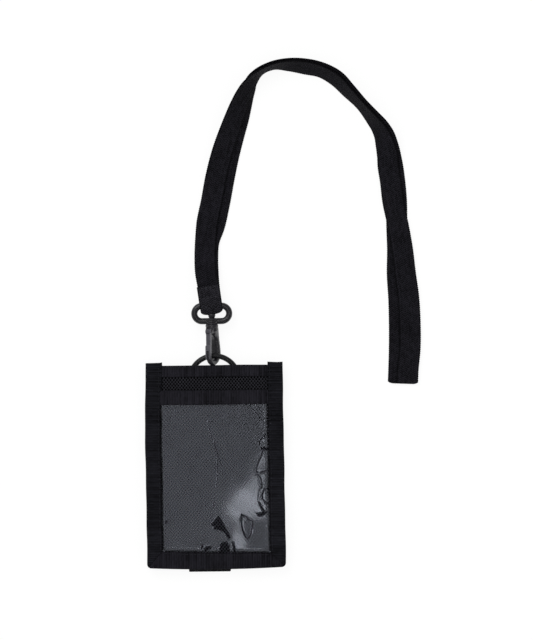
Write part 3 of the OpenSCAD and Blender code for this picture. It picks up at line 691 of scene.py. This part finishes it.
CLING_LINES = (  # thin lines in which the film touches the net, with their half width in millimetres
    ("241.5,514 241,520 242,528 244.5,535 247,538.5 249.5,535.5 251.5,528 252.7,522 251.5,520 "
     "247.7,519.3 246.3,516.3 244,515.3 241.5,514", 0.38),
    ("262.5,451 261.5,456 258,461.5 256,468 257.5,474 260.5,478", 0.38),
    ("260,472.3 265,470.6 269,469.3", 0.4),
    ("260.5,478 262,484 261.5,488", 0.28),
    ("269.5,488 265,488.3 262.4,492 262.2,498 264.5,502 268,503.5", 0.38),
    ("266.5,492.6 269.5,492.6", 0.35),
    ("208,421 209,427 212,438", 0.22),
    ("213.5,441 217.5,452 221,464 223,475", 0.22),
    ("217,458 217.5,470 216.5,486", 0.18),
    ("214.5,496 213.5,506", 0.18),
    ("250,404.5 255,411 262,419.5", 0.18),
    ("257,404.5 263,413", 0.18),
    ("267.5,432 263,437 259.5,441 259.5,445", 0.28),
)
CLINGS = (  # outlines, in pixels, of patches where the film lies on the net
    "211.2,523 214,520.5 218.7,515 221,518 225,526 229,532.5 230.6,537 228,538.8 224,532 219,529.3 "
    "214,528.6",
    "220,553 219.5,545 222,541.3 227,541.6 229.5,546 230.5,553",
    "231.3,540.5 233,540.5 235.3,547 235.8,553 233,553 233,548",
    "201,543.5 203,543.5 203,548 201,549.5",
    "204,549 206.5,545.3 209,546 212,544.3 211.5,547.3 208.5,550 204.5,551.5",
    "257.8,501 259.3,501 262,506 264.3,510.3 267.3,511 265.5,513.7 261,515.9 257,515.2 254.2,512 "
    "257.6,512.6 261.2,512.4 262,511 260,506.5",
    "260.5,445 263,447 269.5,446.5 269.5,450.3 263.5,450.3 261,449",
    "165,521 167,519 168.5,522 166.5,524",
)


def inside(gx, gy, polygon):
    """Signed distance to a polygon, above 0 inside it."""
    ring = polygon + polygon[:1]
    odd = np.zeros(gx.shape, bool)
    for (x0, y0), (x1, y1) in zip(ring, ring[1:]):
        at = (x1 - x0) * (gy - y0) / (y1 - y0) + x0
        odd ^= ((y0 > gy) != (y1 > gy)) & (gx < at)
    away = line_field(gx, gy, ring)
    return np.where(odd, away, -away)


def tipped(gx, gy):
    """How far the film tips, from 0 to 1, where it hangs slack towards the lower right."""
    level = np.ones(gx.shape)
    for *patch, share in TIPPED:
        level *= 1 - share * bell(blob_field(gx, gy, *patch))
    return (1 - level ** 2) * (1 - 0.75 * np.exp(-blob_field(gx, gy, *LESS_TIPPED) ** 4))


def slack(gx, gy):
    """Height of the film where it rises gently and then tips by TIP_SLOPE over the patches of TIPPED."""
    way = (math.sqrt(0.5), -math.sqrt(0.5))
    passed, whole = np.zeros(gx.shape), np.zeros(gx.shape)
    for k in range(-60, 61):  # millimetres towards the lower right
        part = tipped(gx + k * way[0], gy + k * way[1])
        whole += part
        if k <= 0:
            passed += part
    cx, cy = place(*SLACK_MIDDLE)
    ahead = (gx - cx) * way[0] + (gy - cy) * way[1]
    return TIP_SLOPE * (whole * smooth_step((ahead + 58) / 38) - passed)


def make_film():
    xs, ys = np.linspace(-37.4, 37.4, 214), np.linspace(OPEN_LOW - 1.6, MOUTH_Y - 0.9, 311)
    gx, gy = np.meshgrid(xs, ys)
    lift = raised(gx, gy, FILM_SLOPE)
    wrinkle = 0.08 * np.sin(gx / 10.5 + 0.8 * np.sin(gy / 17.0)) * np.sin(gy / 14.0 + 0.4)
    wrinkle += 0.012 * np.sin(gx / 3.7 + gy / 6.0) * np.sin(gy / 5.2)
    wrinkle += slack(gx, gy)
    for line, height, half in CREASES:
        wrinkle += height * bell(line_field(gx, gy, traced(line)) / half)
    cling = np.zeros(gx.shape)
    for polygon in CLINGS:
        cling = np.maximum(cling, smooth_step(inside(gx, gy, traced(polygon)) / 0.5 + 0.5))
    for line, half in CLING_LINES:
        cling = np.maximum(cling, smooth_step((half - line_field(gx, gy, traced(line))) / 0.3 + 0.5))
    base = FILM_Z + FILM_RISE * lift + (wrinkle - CLING_DEPTH * cling) * lift
    points, faces, _ = sheet_between(xs, ys, base + FILM_THICK, base)
    piece = add_piece("window_film", drape(points), faces, "wallet", FILM, "window_sheet")
    piece.data.materials.append(WET_FILM)
    both = np.tile(cling.ravel(), 2)
    wet = both[np.array(faces)].mean(1) > 0.5
    piece.data.polygons.foreach_set("material_index", wet.astype(np.int32))
    return piece


SEAM = 1.3  # from a tape's edge to its seam
STITCH_PITCH, STITCH_LENGTH, STITCH_THICK = 2.8, 2.0, 0.42
STITCH_RISE, STITCH_SINK = 0.2, 0.12  # of the thread over its seam, at its middle and at its ends
MOUTH_SEAM = 30.8  # half the length of the seams at the mouths
TAPE_THICK = 0.5
TOOTH = 1.1  # from one small tooth of a tape's edge to the next


def folded_tape(name, low_y, top_y, z_front, z_back, rise, node):
    """Tape folded over a mouth: a front and a back flange with a round fold, bent to the pocket's face."""
    middle = (z_front + z_back) / 2
    radius = (z_front - z_back) / 2
    turn_y = top_y - radius - TAPE_THICK / 2
    path = [(low_y, z_front), (low_y + 0.25, z_front + 0.04)]
    path += [(y, z_front + 0.05) for y in np.linspace(low_y + 0.9, turn_y, 10)]
    path += arc(turn_y, middle, radius, 84, -84, 9)
    path += [(y, z_back) for y in np.linspace(turn_y, low_y, 10)]
    path = resample(path, 0.35)
    way = directions(path)
    out = np.stack([-way[:, 1], way[:, 0]], 1) * TAPE_THICK / 2
    run = running_length(path)
    y, z = np.concatenate([path + out, (path - out)[::-1]]).T
    across = np.concatenate([run, run[::-1]])
    x = np.arange(-OPEN_X - 0.35, OPEN_X + 0.36, 0.42)[:, None]
    lift = smooth_step((OPEN_X - np.abs(x)) / FILM_SLOPE)
    pucker = 0.05 * np.sin(x * TURN / STITCH_PITCH) + 0.04 * np.sin(x / 4.0)
    sunk = 0.12 * bell((y - low_y - SEAM) / 0.6) * (z > middle)
    teeth = 0.09 * np.cos(x * TURN / TOOTH) * (y < low_y + 0.5)
    points = grid(x, y + teeth, z + rise * (lift - 1) + pucker * 0.6 - sunk)
    cloth = grid(x, across, np.minimum(across, run[-1] - across))
    faces = tube_faces(len(x), len(y))
    return add_piece(name, drape(points), faces, "wallet", MOUTH_TAPE, node, cloth)


BIND_Z = (6.1, 9.15)
BIND_THICK = 0.6
CORNER = 2.7
CORNER_STEPS = 6
MITRE_STEP = 0.35  # of tape to each step round a corner
FRONT_Z = 7.9  # above it lies the binding's front


def binding_section():
    """Distance from the wallet's edge and height, round the binding, and length along the tape's width."""
    low, high = BIND_Z
    middle, half = (low + high) / 2, (high - low) / 2
    outer = [(d, high) for d in np.linspace(BIND, 1.5, 24)]
    outer += [(1.5 - 1.5 * math.cos(t), middle + half * math.sin(t))
              for t in np.linspace(math.pi / 2, -math.pi / 2, 15)[1:-1]]
    outer += [(d, low) for d in np.linspace(1.5, BIND, 16)]
    inner = [(d, low + BIND_THICK) for d in np.linspace(BIND, 1.7, 7)]
    inner += [(d, high - BIND_THICK) for d in np.linspace(1.7, BIND, 7)]
    outer = np.array(outer)
    run = running_length(outer)
    d, z = outer.T
    sunk = 0.16 * bell((d - BIND + SEAM) / 0.55) - 0.06 * bell((d - 5) / 2.5)
    outer[:, 1] -= np.where(z > middle + 0.8, sunk + 0.06 * (d > BIND - 0.3), 0)
    back_run = np.linspace(run[-1], 0, len(inner))
    return np.concatenate([outer, inner]), np.concatenate([run, back_run])


def make_binding(name, node, side):
    """side is -1 for the left edge, 1 for the right and 0 for the bottom, each up to the corner's mitre."""
    section, across = binding_section()
    d, z = section.T
    beyond = np.maximum(d, CORNER)
    turn = np.radians(np.linspace(0, 45, CORNER_STEPS + 1)[1:])[:, None]
    steps = MITRE_STEP * np.arange(1, CORNER_STEPS + 1)[:, None]
    curl = np.clip(CORNER - d, 0, None)
    to_side, to_low = beyond - curl * np.cos(turn), beyond - curl * np.sin(turn)
    if side == 0:
        to_side, to_low = to_low, to_side

    def corner(sign):
        """Rows round half of a corner, from the straight edge to the mitre."""
        return grid(sign * (HALF_X - to_side), LOW_Y + to_low, z)

    def teeth(run):
        return np.where(d > BIND - 0.2, 0.09 * np.cos(run * TURN / TOOTH), 0)

    if side:
        ear = TOP_Y + EAR + 0.12 * np.sin(d * 2.3 + side) - 0.5 * bell((d - 5.5) / 2.4)
        y = np.linspace(ear, LOW_Y + beyond, 262)
        flare = 0.09 * smooth_step((y - 48) / 16) * d * (side < 0)
        rows = [grid(side * (HALF_X - d - teeth(y) - flare), y, z), corner(side)]
        run = np.concatenate([y, LOW_Y + beyond - steps])
    else:
        x = np.linspace(beyond - HALF_X, HALF_X - beyond, 170)
        rows = [corner(-1)[::-1], grid(x, LOW_Y + d + teeth(x), z), corner(1)]
        run = np.concatenate([(beyond - HALF_X - steps)[::-1], x, HALF_X - beyond + steps])
    points = np.concatenate(rows)
    mitre = np.abs((HALF_X - np.abs(points[..., 0])) - (points[..., 1] - LOW_Y)) / math.sqrt(2)
    fold = (0.45 * bell(mitre / 1.8) if side else -0.04 * bell(mitre / 2)) - 0.3 * bell(mitre / 0.35)
    pucker = 0.045 * np.sin(run * TURN / STITCH_PITCH) * bell((d - BIND + SEAM) / 1.4)
    creep = 0.07 * np.sin(run / 6.1 + d / 3.0) + 0.04 * np.sin(run / 2.3 + 1.0)
    points[..., 2] += np.where(points[..., 2] > FRONT_Z, fold + pucker + creep, 0)
    cloth = grid(run, across, np.minimum(across, across.max() - across))
    return add_piece(name, drape(points), tube_faces(len(points), len(d), side <= 0), "wallet",
                     TAPE if side else BOTTOM_TAPE_PAINTED_LIGHT, node, cloth, merge=True)


def stitch_points(start, end, up):
    """One stitch: a rounded thread that comes up, lies along the cloth and goes down again."""
    start, end, normal = np.array(start), np.array(end), np.array([0.0, 0.0, up])
    way = end - start
    side = np.cross(normal, way / np.linalg.norm(way))
    points, cloth = [], []
    stations, ring = 7, 6
    for k in range(stations):
        t = k / (stations - 1)
        swell = math.sin(math.pi * t)
        centre = start + way * t + normal * (STITCH_RISE * swell ** 0.5 - STITCH_SINK * (1 - swell))
        wide = STITCH_THICK / 2 * (0.55 + 0.45 * swell ** 0.4)
        for m in range(ring):
            a = TURN * m / ring
            points.append(centre + side * wide * math.cos(a) + normal * wide * 0.8 * math.sin(a))
            cloth.append((t * STITCH_LENGTH, a, 0))
    return points, tube_faces(stations, ring), cloth


def stitch_row(x0, y0, x1, y1, z, up=1):
    """Stitches of a seam from one point to another; up is -1 on the back."""
    run = math.hypot(x1 - x0, y1 - y0)
    count = int((run - STITCH_LENGTH) / STITCH_PITCH + 1e-6) + 1
    first = (run - (count - 1) * STITCH_PITCH - STITCH_LENGTH) / 2
    made = []
    for k in range(count):
        ends = []
        for at in (first + k * STITCH_PITCH, first + k * STITCH_PITCH + STITCH_LENGTH):
            x = x0 + (x1 - x0) * at / run + rng.normal(0, 0.04)
            y = y0 + (y1 - y0) * at / run + rng.normal(0, 0.04)
            ends.append((x, y, z))
        made.append(stitch_points(*ends, up))
    return made


def cross_row(half, y, z, up=1):
    return stitch_row(-half, y, half, y, z, up)


def add_stitches(name, rows, body, node, shape, material):
    points, faces = join(rows)
    cloth = [c for row in rows for c in row[2]]
    add_piece(name, shape(np.array(points)), faces, body, material, node, cloth)


def make_wallet_stitches():
    seam_x, seam_y, z = OPEN_X + SEAM, OPEN_LOW - SEAM, BIND_Z[1] - 0.1
    rows = []
    for s in (-1, 1):
        rows += stitch_row(s * seam_x, OPEN_LOW, s * seam_x, TOP_Y, z)
    rows += cross_row(OPEN_X, seam_y, z)
    add_stitches("binding_seam", rows, "wallet", "binding_stitches", drape, THREAD)
    for name, low_y, z, node in (("mouth_seam", MOUTH_LOW, 10.57, "mouth_stitches"),
                                 ("top_seam", TOP_TAPE_LOW, 9.42, "top_stitches")):
        add_stitches(name, cross_row(MOUTH_SEAM, low_y + SEAM, z), "wallet", node, drape, THREAD)


BAR_Y, BELT_HALF = 55.5, 14.0
BELT_FOLD_Y = LOW_Y + 0.45
BELT_SEWN, BELT_TAIL = 14, 9  # lengths of the end below the ring's bar and of the one at the bottom
BELT_LEAN = 4.3 / 125


def lean_belt(points):
    """The webbing on the back, sewn in a little askew: its lower end lies to the left."""
    p = np.array(points, float)
    p[..., 0] -= BELT_LEAN * np.clip(BAR_Y - p[..., 1], 0, None)
    return p


def make_belt_webbing():
    """Webbing on the back: sewn tail, loop round the ring's bar, free layer, bottom fold and lower tail."""
    path = [(BAR_Y - BELT_SEWN, 6.1), (BAR_Y - 2, 6.1)]
    path += arc(BAR_Y, 3.35, 2.75, 90, -90, 17)
    for y in np.linspace(BAR_Y - 3, BELT_FOLD_Y + 3, 60):
        bulge = 0.5 * max(0.0, math.sin((y - 40) / 14.0)) if 40 < y < 52 else 0
        path.append((y, 0.6 + bulge))
    path += arc(BELT_FOLD_Y, 3.05, 2.45, 270, 90, 15)
    path += [(BELT_FOLD_Y + BELT_TAIL, 5.5)]
    fold_strap("belt_webbing", resample(path, 0.5), BELT_HALF, 25, 0.03, lean_belt, "wallet", BELT_WEBBING,
               "back_strap")
    low = BELT_FOLD_Y + BELT_TAIL - SEAM
    rows = []
    for y, z in ((BAR_Y - BELT_SEWN + SEAM, 5.5), (BAR_Y - 2.15 - SEAM, 5.5),
                 (low - 2 * SEAM, 4.9), (low, 4.9)):
        rows += cross_row(BELT_HALF - SEAM, y, z, -1)
    add_stitches("belt_seams", rows, "wallet", "back_strap_stitches", lean_belt, THREAD)


# ---------------------------------------------------------------- end sleeve
EYE_BAR_Y = 107.467
SLEEVE_LENGTH = 13.5
SLEEVE_LEAN = math.radians(7.9)
SLEEVE_X = -1.65


def lean(points):
    """The sleeve, rounded where it passes the eye's bar and turned about the bar."""
    p = np.array(points, float)
    share = np.abs(p[..., 0]) / LANYARD_HALF
    tip = smooth_step((1.2 - p[..., 1]) / 3.5)
    p[..., 1] += tip * (0.9 * share ** 6 - 0.9 * (1 - share ** 2))
    p[..., 0] *= 1 - 0.02 * tip
    c, s = math.cos(SLEEVE_LEAN), math.sin(SLEEVE_LEAN)
    x, y = p[..., 0].copy(), p[..., 1].copy()
    p[..., 0] = SLEEVE_X + x * c - y * s
    p[..., 1] = EYE_BAR_Y + x * s + y * c
    return p


def make_sleeve():
    """Webbing folded round the eye's bar, with its two ends over and under the lanyard."""
    layer = 1.5 * STRAP_THICK + 0.25  # height of its middle over the lanyard's
    upper = [(SLEEVE_LENGTH, layer), (4.6, layer), (2.4, 2.4), (0, 2.86), (-1.4, 2.45), (-2.9, 1.75)]
    tip = arc(-2.9, 0, 1.75, 90, 270, 11)[1:-1]
    lower = [(y, -z) for y, z in upper[::-1]]
    path = resample(upper + tip + lower, 0.6)
    for _ in range(3):
        path[1:-1] = (path[:-2] + 2 * path[1:-1] + path[2:]) / 4
    path = resample(path, 0.33) + (0, HOOK_Z)
    fold_strap("strap_sleeve", path, LANYARD_HALF + 0.4, 17, 0.035, lean, "lanyard", SLEEVE_WEBBING,
               "end_sleeve")
    z = HOOK_Z + layer + STRAP_THICK / 2 - 0.05
    rows = []
    for y in (5.4, SLEEVE_LENGTH - SEAM):
        rows += cross_row(LANYARD_HALF - SEAM, y, z)
    add_stitches("sleeve_seams", rows, "lanyard", "sleeve_stitches", lean, SLEEVE_THREAD)


# ---------------------------------------------------------------- moulded pieces
HOOK_AXIS = (-1.2, HOOK_Z)
HOOK_TURN = math.radians(65)
BEND_Y = 74.467
BEND_STEPS, BEND_STEP = 13, 12.5  # stations round the bend, and degrees between them


def finish_mould(piece, body, material, node, voxel, grow=0.0, shape=None, slot="hook_plastic"):
    """Runs the forms of a moulding together, with soft edges, and puts the piece on its body."""
    remesh = piece.modifiers.new("remesh", "REMESH")
    remesh.mode = "VOXEL"
    remesh.voxel_size = voxel * MM
    smooth = piece.modifiers.new("smooth", "SMOOTH")
    smooth.factor = 0.5
    smooth.iterations = 5
    if grow:
        swell = piece.modifiers.new("swell", "DISPLACE")
        swell.strength = grow * MM
        swell.mid_level = 0
    mesh = bpy.data.meshes.new_from_object(piece.evaluated_get(bpy.context.evaluated_depsgraph_get()))
    piece.modifiers.clear()
    piece.data = mesh
    if shape is not None:
        points = np.empty(3 * len(mesh.vertices), np.float32)
        mesh.vertices.foreach_get("co", points)
        points = shape(points.reshape(-1, 3).astype(float) / MM) * MM
        mesh.vertices.foreach_set("co", points.astype(np.float32).ravel())
    mesh.materials.clear()
    settle(piece, body, material, node)


def moulded(node, name, body, material, voxel, **finish):
    """A piece drawn from a CAD node, with its edges softened as a mould leaves them."""
    piece = add_object(name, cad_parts[node].data.copy())
    finish_mould(piece, body, material, node, voxel, **finish)


def hook_point(u, y, w):
    """From the hook's own plane to the frame; u runs from the gate to the stem, and w through the plane."""
    c, s = math.cos(HOOK_TURN), math.sin(HOOK_TURN)
    return (HOOK_AXIS[0] + u * c + w * s, y, HOOK_AXIS[1] - u * s + w * c)


def hook_plane(p):
    """From the frame back to the hook's own plane."""
    c, s = math.cos(HOOK_TURN), math.sin(HOOK_TURN)
    dx, dz = p[:, 0] - HOOK_AXIS[0], p[:, 2] - HOOK_AXIS[1]
    return dx * c - dz * s, p[:, 1], dx * s + dz * c


def loft(stations, exponent, ridge=0.0, count=32):
    """A closed form through ovals, given as u, y, heading in degrees, half thickness, half depth and w.

    A ridge along the side that faces the gate makes two faces of it."""
    points = []
    for u, y, heading, thick, deep, shift in stations:
        side = (-math.sin(math.radians(heading)), math.cos(math.radians(heading)))
        for k in range(count):
            t = TURN * k / count
            a = math.copysign(abs(math.cos(t)) ** (2 / exponent), math.cos(t)) * thick
            b = math.copysign(abs(math.sin(t)) ** (2 / exponent), math.sin(t)) * deep
            if a < 0:
                a -= ridge * (1 - abs(b / deep - 0.35) / 1.35)
            points.append(hook_point(u + side[0] * a, y + side[1] * a, shift + b))
    return points, tube_faces(len(stations), count, False)


def make_hook_frame():
    """Head, post, barrel, shoulder, stem and bend of the hook, in one moulding."""
    turned = ((102.02, 1.2), (102.02, 2.35), (101.12, 2.5), (99.62, 2), (99.42, 1.7), (94.95, 1.7),
              (94.9, 4.1), (94.6, 4.25), (94.2, 4.25), (93.4, 4.2), (93.1, 3.95), (92.7, 3.95), (92.4, 4.2),
              (90.5, 4.1), (90, 3.5))
    stem = [(0.2, 93.5, -90, 3.6, 3.4, 0.2), (0.9, 91.8, -80, 3.9, 3.3, 0.2), (2.4, 89.8, -60, 3.3, 2.9, 0.2),
            (4.0, 87.6, -68, 2.2, 3.0, -0.2), (4.9, 85.2, -82, 1.6, 3.1, -0.35),
            (5.3, 82, -88, 1.4, 3.25, -0.25), (5.4, 78, -90, 1.35, 3.45, -0.05),
            (5.4, BEND_Y, -90, 1.35, 3.3, 0.3)]
    for k in range(1, BEND_STEPS + 1):
        turn = math.radians(BEND_STEP * k)
        share = k / BEND_STEPS
        slim = 0.2 * float(smooth_step((share - 0.5) / 0.2))  # keeps clear of the top tape as the ring tips
        reach = 5.4 - slim
        stem.append((reach * math.cos(turn), BEND_Y - reach * math.sin(turn), -90 - BEND_STEP * k,
                     1.35 + 0.12 * math.sin(turn) - slim, 3.3 - 1.6 * min(1, 2.4 * share), 0.3 - 0.3 * share))
    shoulder = [(0, 93.5, -90, 3.6, 3.4, 0), (-1.2, 91.9, -105, 3.6, 3.2, 0), (-3.0, 90.6, -120, 2.9, 2.7, 0),
                (-4.6, 89.4, -105, 2.2, 2.3, 0), (-5.1, 88.6, -95, 1.5, 1.9, 0)]
    tip = [(-5.9, y, -90, 0.75, 0.7, 0) for y in (BEND_Y + 2.6, BEND_Y - 1.5)]
    points, faces = join([loft([(0, y, -90, r, r, 0) for y, r in turned], 2), loft(stem, 3.4, 0.9),
                          loft(shoulder, 3), loft(tip, 6)])
    piece = add_mesh("hook_frame", points, faces)
    finish_mould(piece, "hook", HOOK_PLASTIC, "hook_body", 0.19, shape=on_table)


def on_table(p):
    p[:, 2] = np.maximum(p[:, 2], 0.03)
    return p


def gate_shape(p):
    """The gate's arm is broad and lies close to the stem, and its thumb tab stands out on the other side."""
    u, y, w = hook_plane(p)
    arm = smooth_step((90 - y) / 3) * smooth_step((y - 80.6) / 0.8)
    tab = smooth_step((81 - y) / 1.0)
    knuckle = smooth_step((y - 87.5) / 1.5)
    w = w * (1 + 0.26 * arm + 0.5 * knuckle * (1 - arm)) + 0.18 * np.maximum(arm, knuckle) - 0.15 * tab
    return np.stack(hook_point(u, y, w), 1)


def pin_shape(p):
    """The pin's heads lie close to the knuckle."""
    u, y, w = hook_plane(p)
    return np.stack(hook_point(u, y, w * 0.84), 1)


def eye_shape(p):
    """Fine steps round the swivel's collar."""
    dx, y, dz = p[:, 0] - HOOK_AXIS[0], p[:, 1], p[:, 2] - HOOK_AXIS[1]
    collar = (np.hypot(dx, dz) < 4.2) & (y < 100)
    step = np.where(collar, 1 + 0.05 * np.sin((y - 95) * TURN / 1.5), 1)
    return np.stack([HOOK_AXIS[0] + dx * step, y, HOOK_AXIS[1] + dz * step], 1)


back = make_back_cloth()
net = make_net()
film = make_film()
top_tape = folded_tape("top_fold_tape", TOP_TAPE_LOW, TOP_Y, 9.25, 8.15, NET_RISE, "top_tape")
mouth_tape = folded_tape("mouth_fold_tape", MOUTH_LOW, MOUTH_Y, 10.4, 9.5, FILM_RISE, "window_mouth_tape")
bindings = [make_binding("binding_%s" % edge, "%s_binding" % edge, side)
            for edge, side in (("left", -1), ("right", 1), ("bottom", 0))]
make_wallet_stitches()
make_belt_webbing()
make_sleeve()
make_hook_frame()
moulded("gate_lever", "hook_gate", "gate", GATE_PLASTIC_PAINTED_LIGHT, 0.16, shape=gate_shape)
moulded("swivel_eye", "swivel_loop", "eye", EYE_PLASTIC, 0.2, grow=0.2, shape=eye_shape)
moulded("d_ring", "ring_loop", "ring", RING_PLASTIC, 0.2, grow=0.38, slot="ring_plastic")
moulded("gate_pin_rod", "gate_pin", "hook", EYE_PLASTIC, 0.15, shape=pin_shape)


# ---------------------------------------------------------------- stage and light
FLOOR_SIDE, FLOOR_Z = 6000, -0.3
GLOSS_LEVEL = 0.12  # of the ceiling, as shiny things mirror it
GLOW_LEVEL = 6  # of a long soft panel, which only shiny things mirror
GLOW_WAY = (0.072, -0.105)  # its middle, as x and y of the way to it
GLOW_WIDTH = 0.037
GLOW_LENGTH = 0.25


def make_stage():
    corners = [(x * FLOOR_SIDE, y * FLOOR_SIDE, FLOOR_Z) for x, y in ((-1, -1), (1, -1), (1, 1), (-1, 1))]
    floor = add_mesh("floor", corners, [[0, 1, 2, 3]])
    floor.data.materials.append(floor_material())


def make_world():
    """Light from a wide soft ceiling that falls off towards the horizon; the camera sees white."""
    s = Shade("studio", bpy.data.worlds, "World")
    east, north, up = s.parts(s.node("TexCoord").outputs["Generated"])
    east, north = s.less(east, GLOW_WAY[0]), s.less(north, GLOW_WAY[1])
    away = s.times(s.less(east, north), math.sqrt(0.5) / GLOW_WIDTH)
    aside = s.times(s.total(east, north), math.sqrt(0.5) / GLOW_LENGTH)
    far = s.total(s.times(away, away), s.times(aside, aside))
    panel = s.times(s.math("POWER", math.e, s.times(far, -1.0)), GLOW_LEVEL)
    shine = s.total(s.span(up, 0.2, 0.9, 0.25, GLOSS_LEVEL), s.times(panel, s.math("GREATER_THAN", up, 0.0)))
    level = s.span(up, 0.0, 1.0, 0.3, 0.95)
    path = s.node("LightPath").outputs
    for ray, seen in (("Is Glossy Ray", shine), ("Is Transmission Ray", 1.0), ("Is Camera Ray", 1.0)):
        level = s.node("Mix", {0: path[ray], 2: level, 3: seen}).outputs[0]
    bpy.context.scene.world = s.finish(s.node("Background", {"Color": WHITE, "Strength": level}))


def make_lamp():
    """A soft key light from the upper left."""
    data = bpy.data.lights.new("key", "AREA")
    data.shape = "RECTANGLE"
    data.size = data.size_y = 0.9
    data.energy = 9
    lamp = add_object("key", data)
    lamp.location = (-0.6, 1.1, 1.5)
    lamp.rotation_mode = "QUATERNION"
    lamp.rotation_quaternion = (Vector((0.03, 0.08, 0)) - lamp.location).to_track_quat("-Z", "Y")


make_stage()
make_world()
make_lamp()
bpy.context.scene.view_settings.view_transform = "Standard"
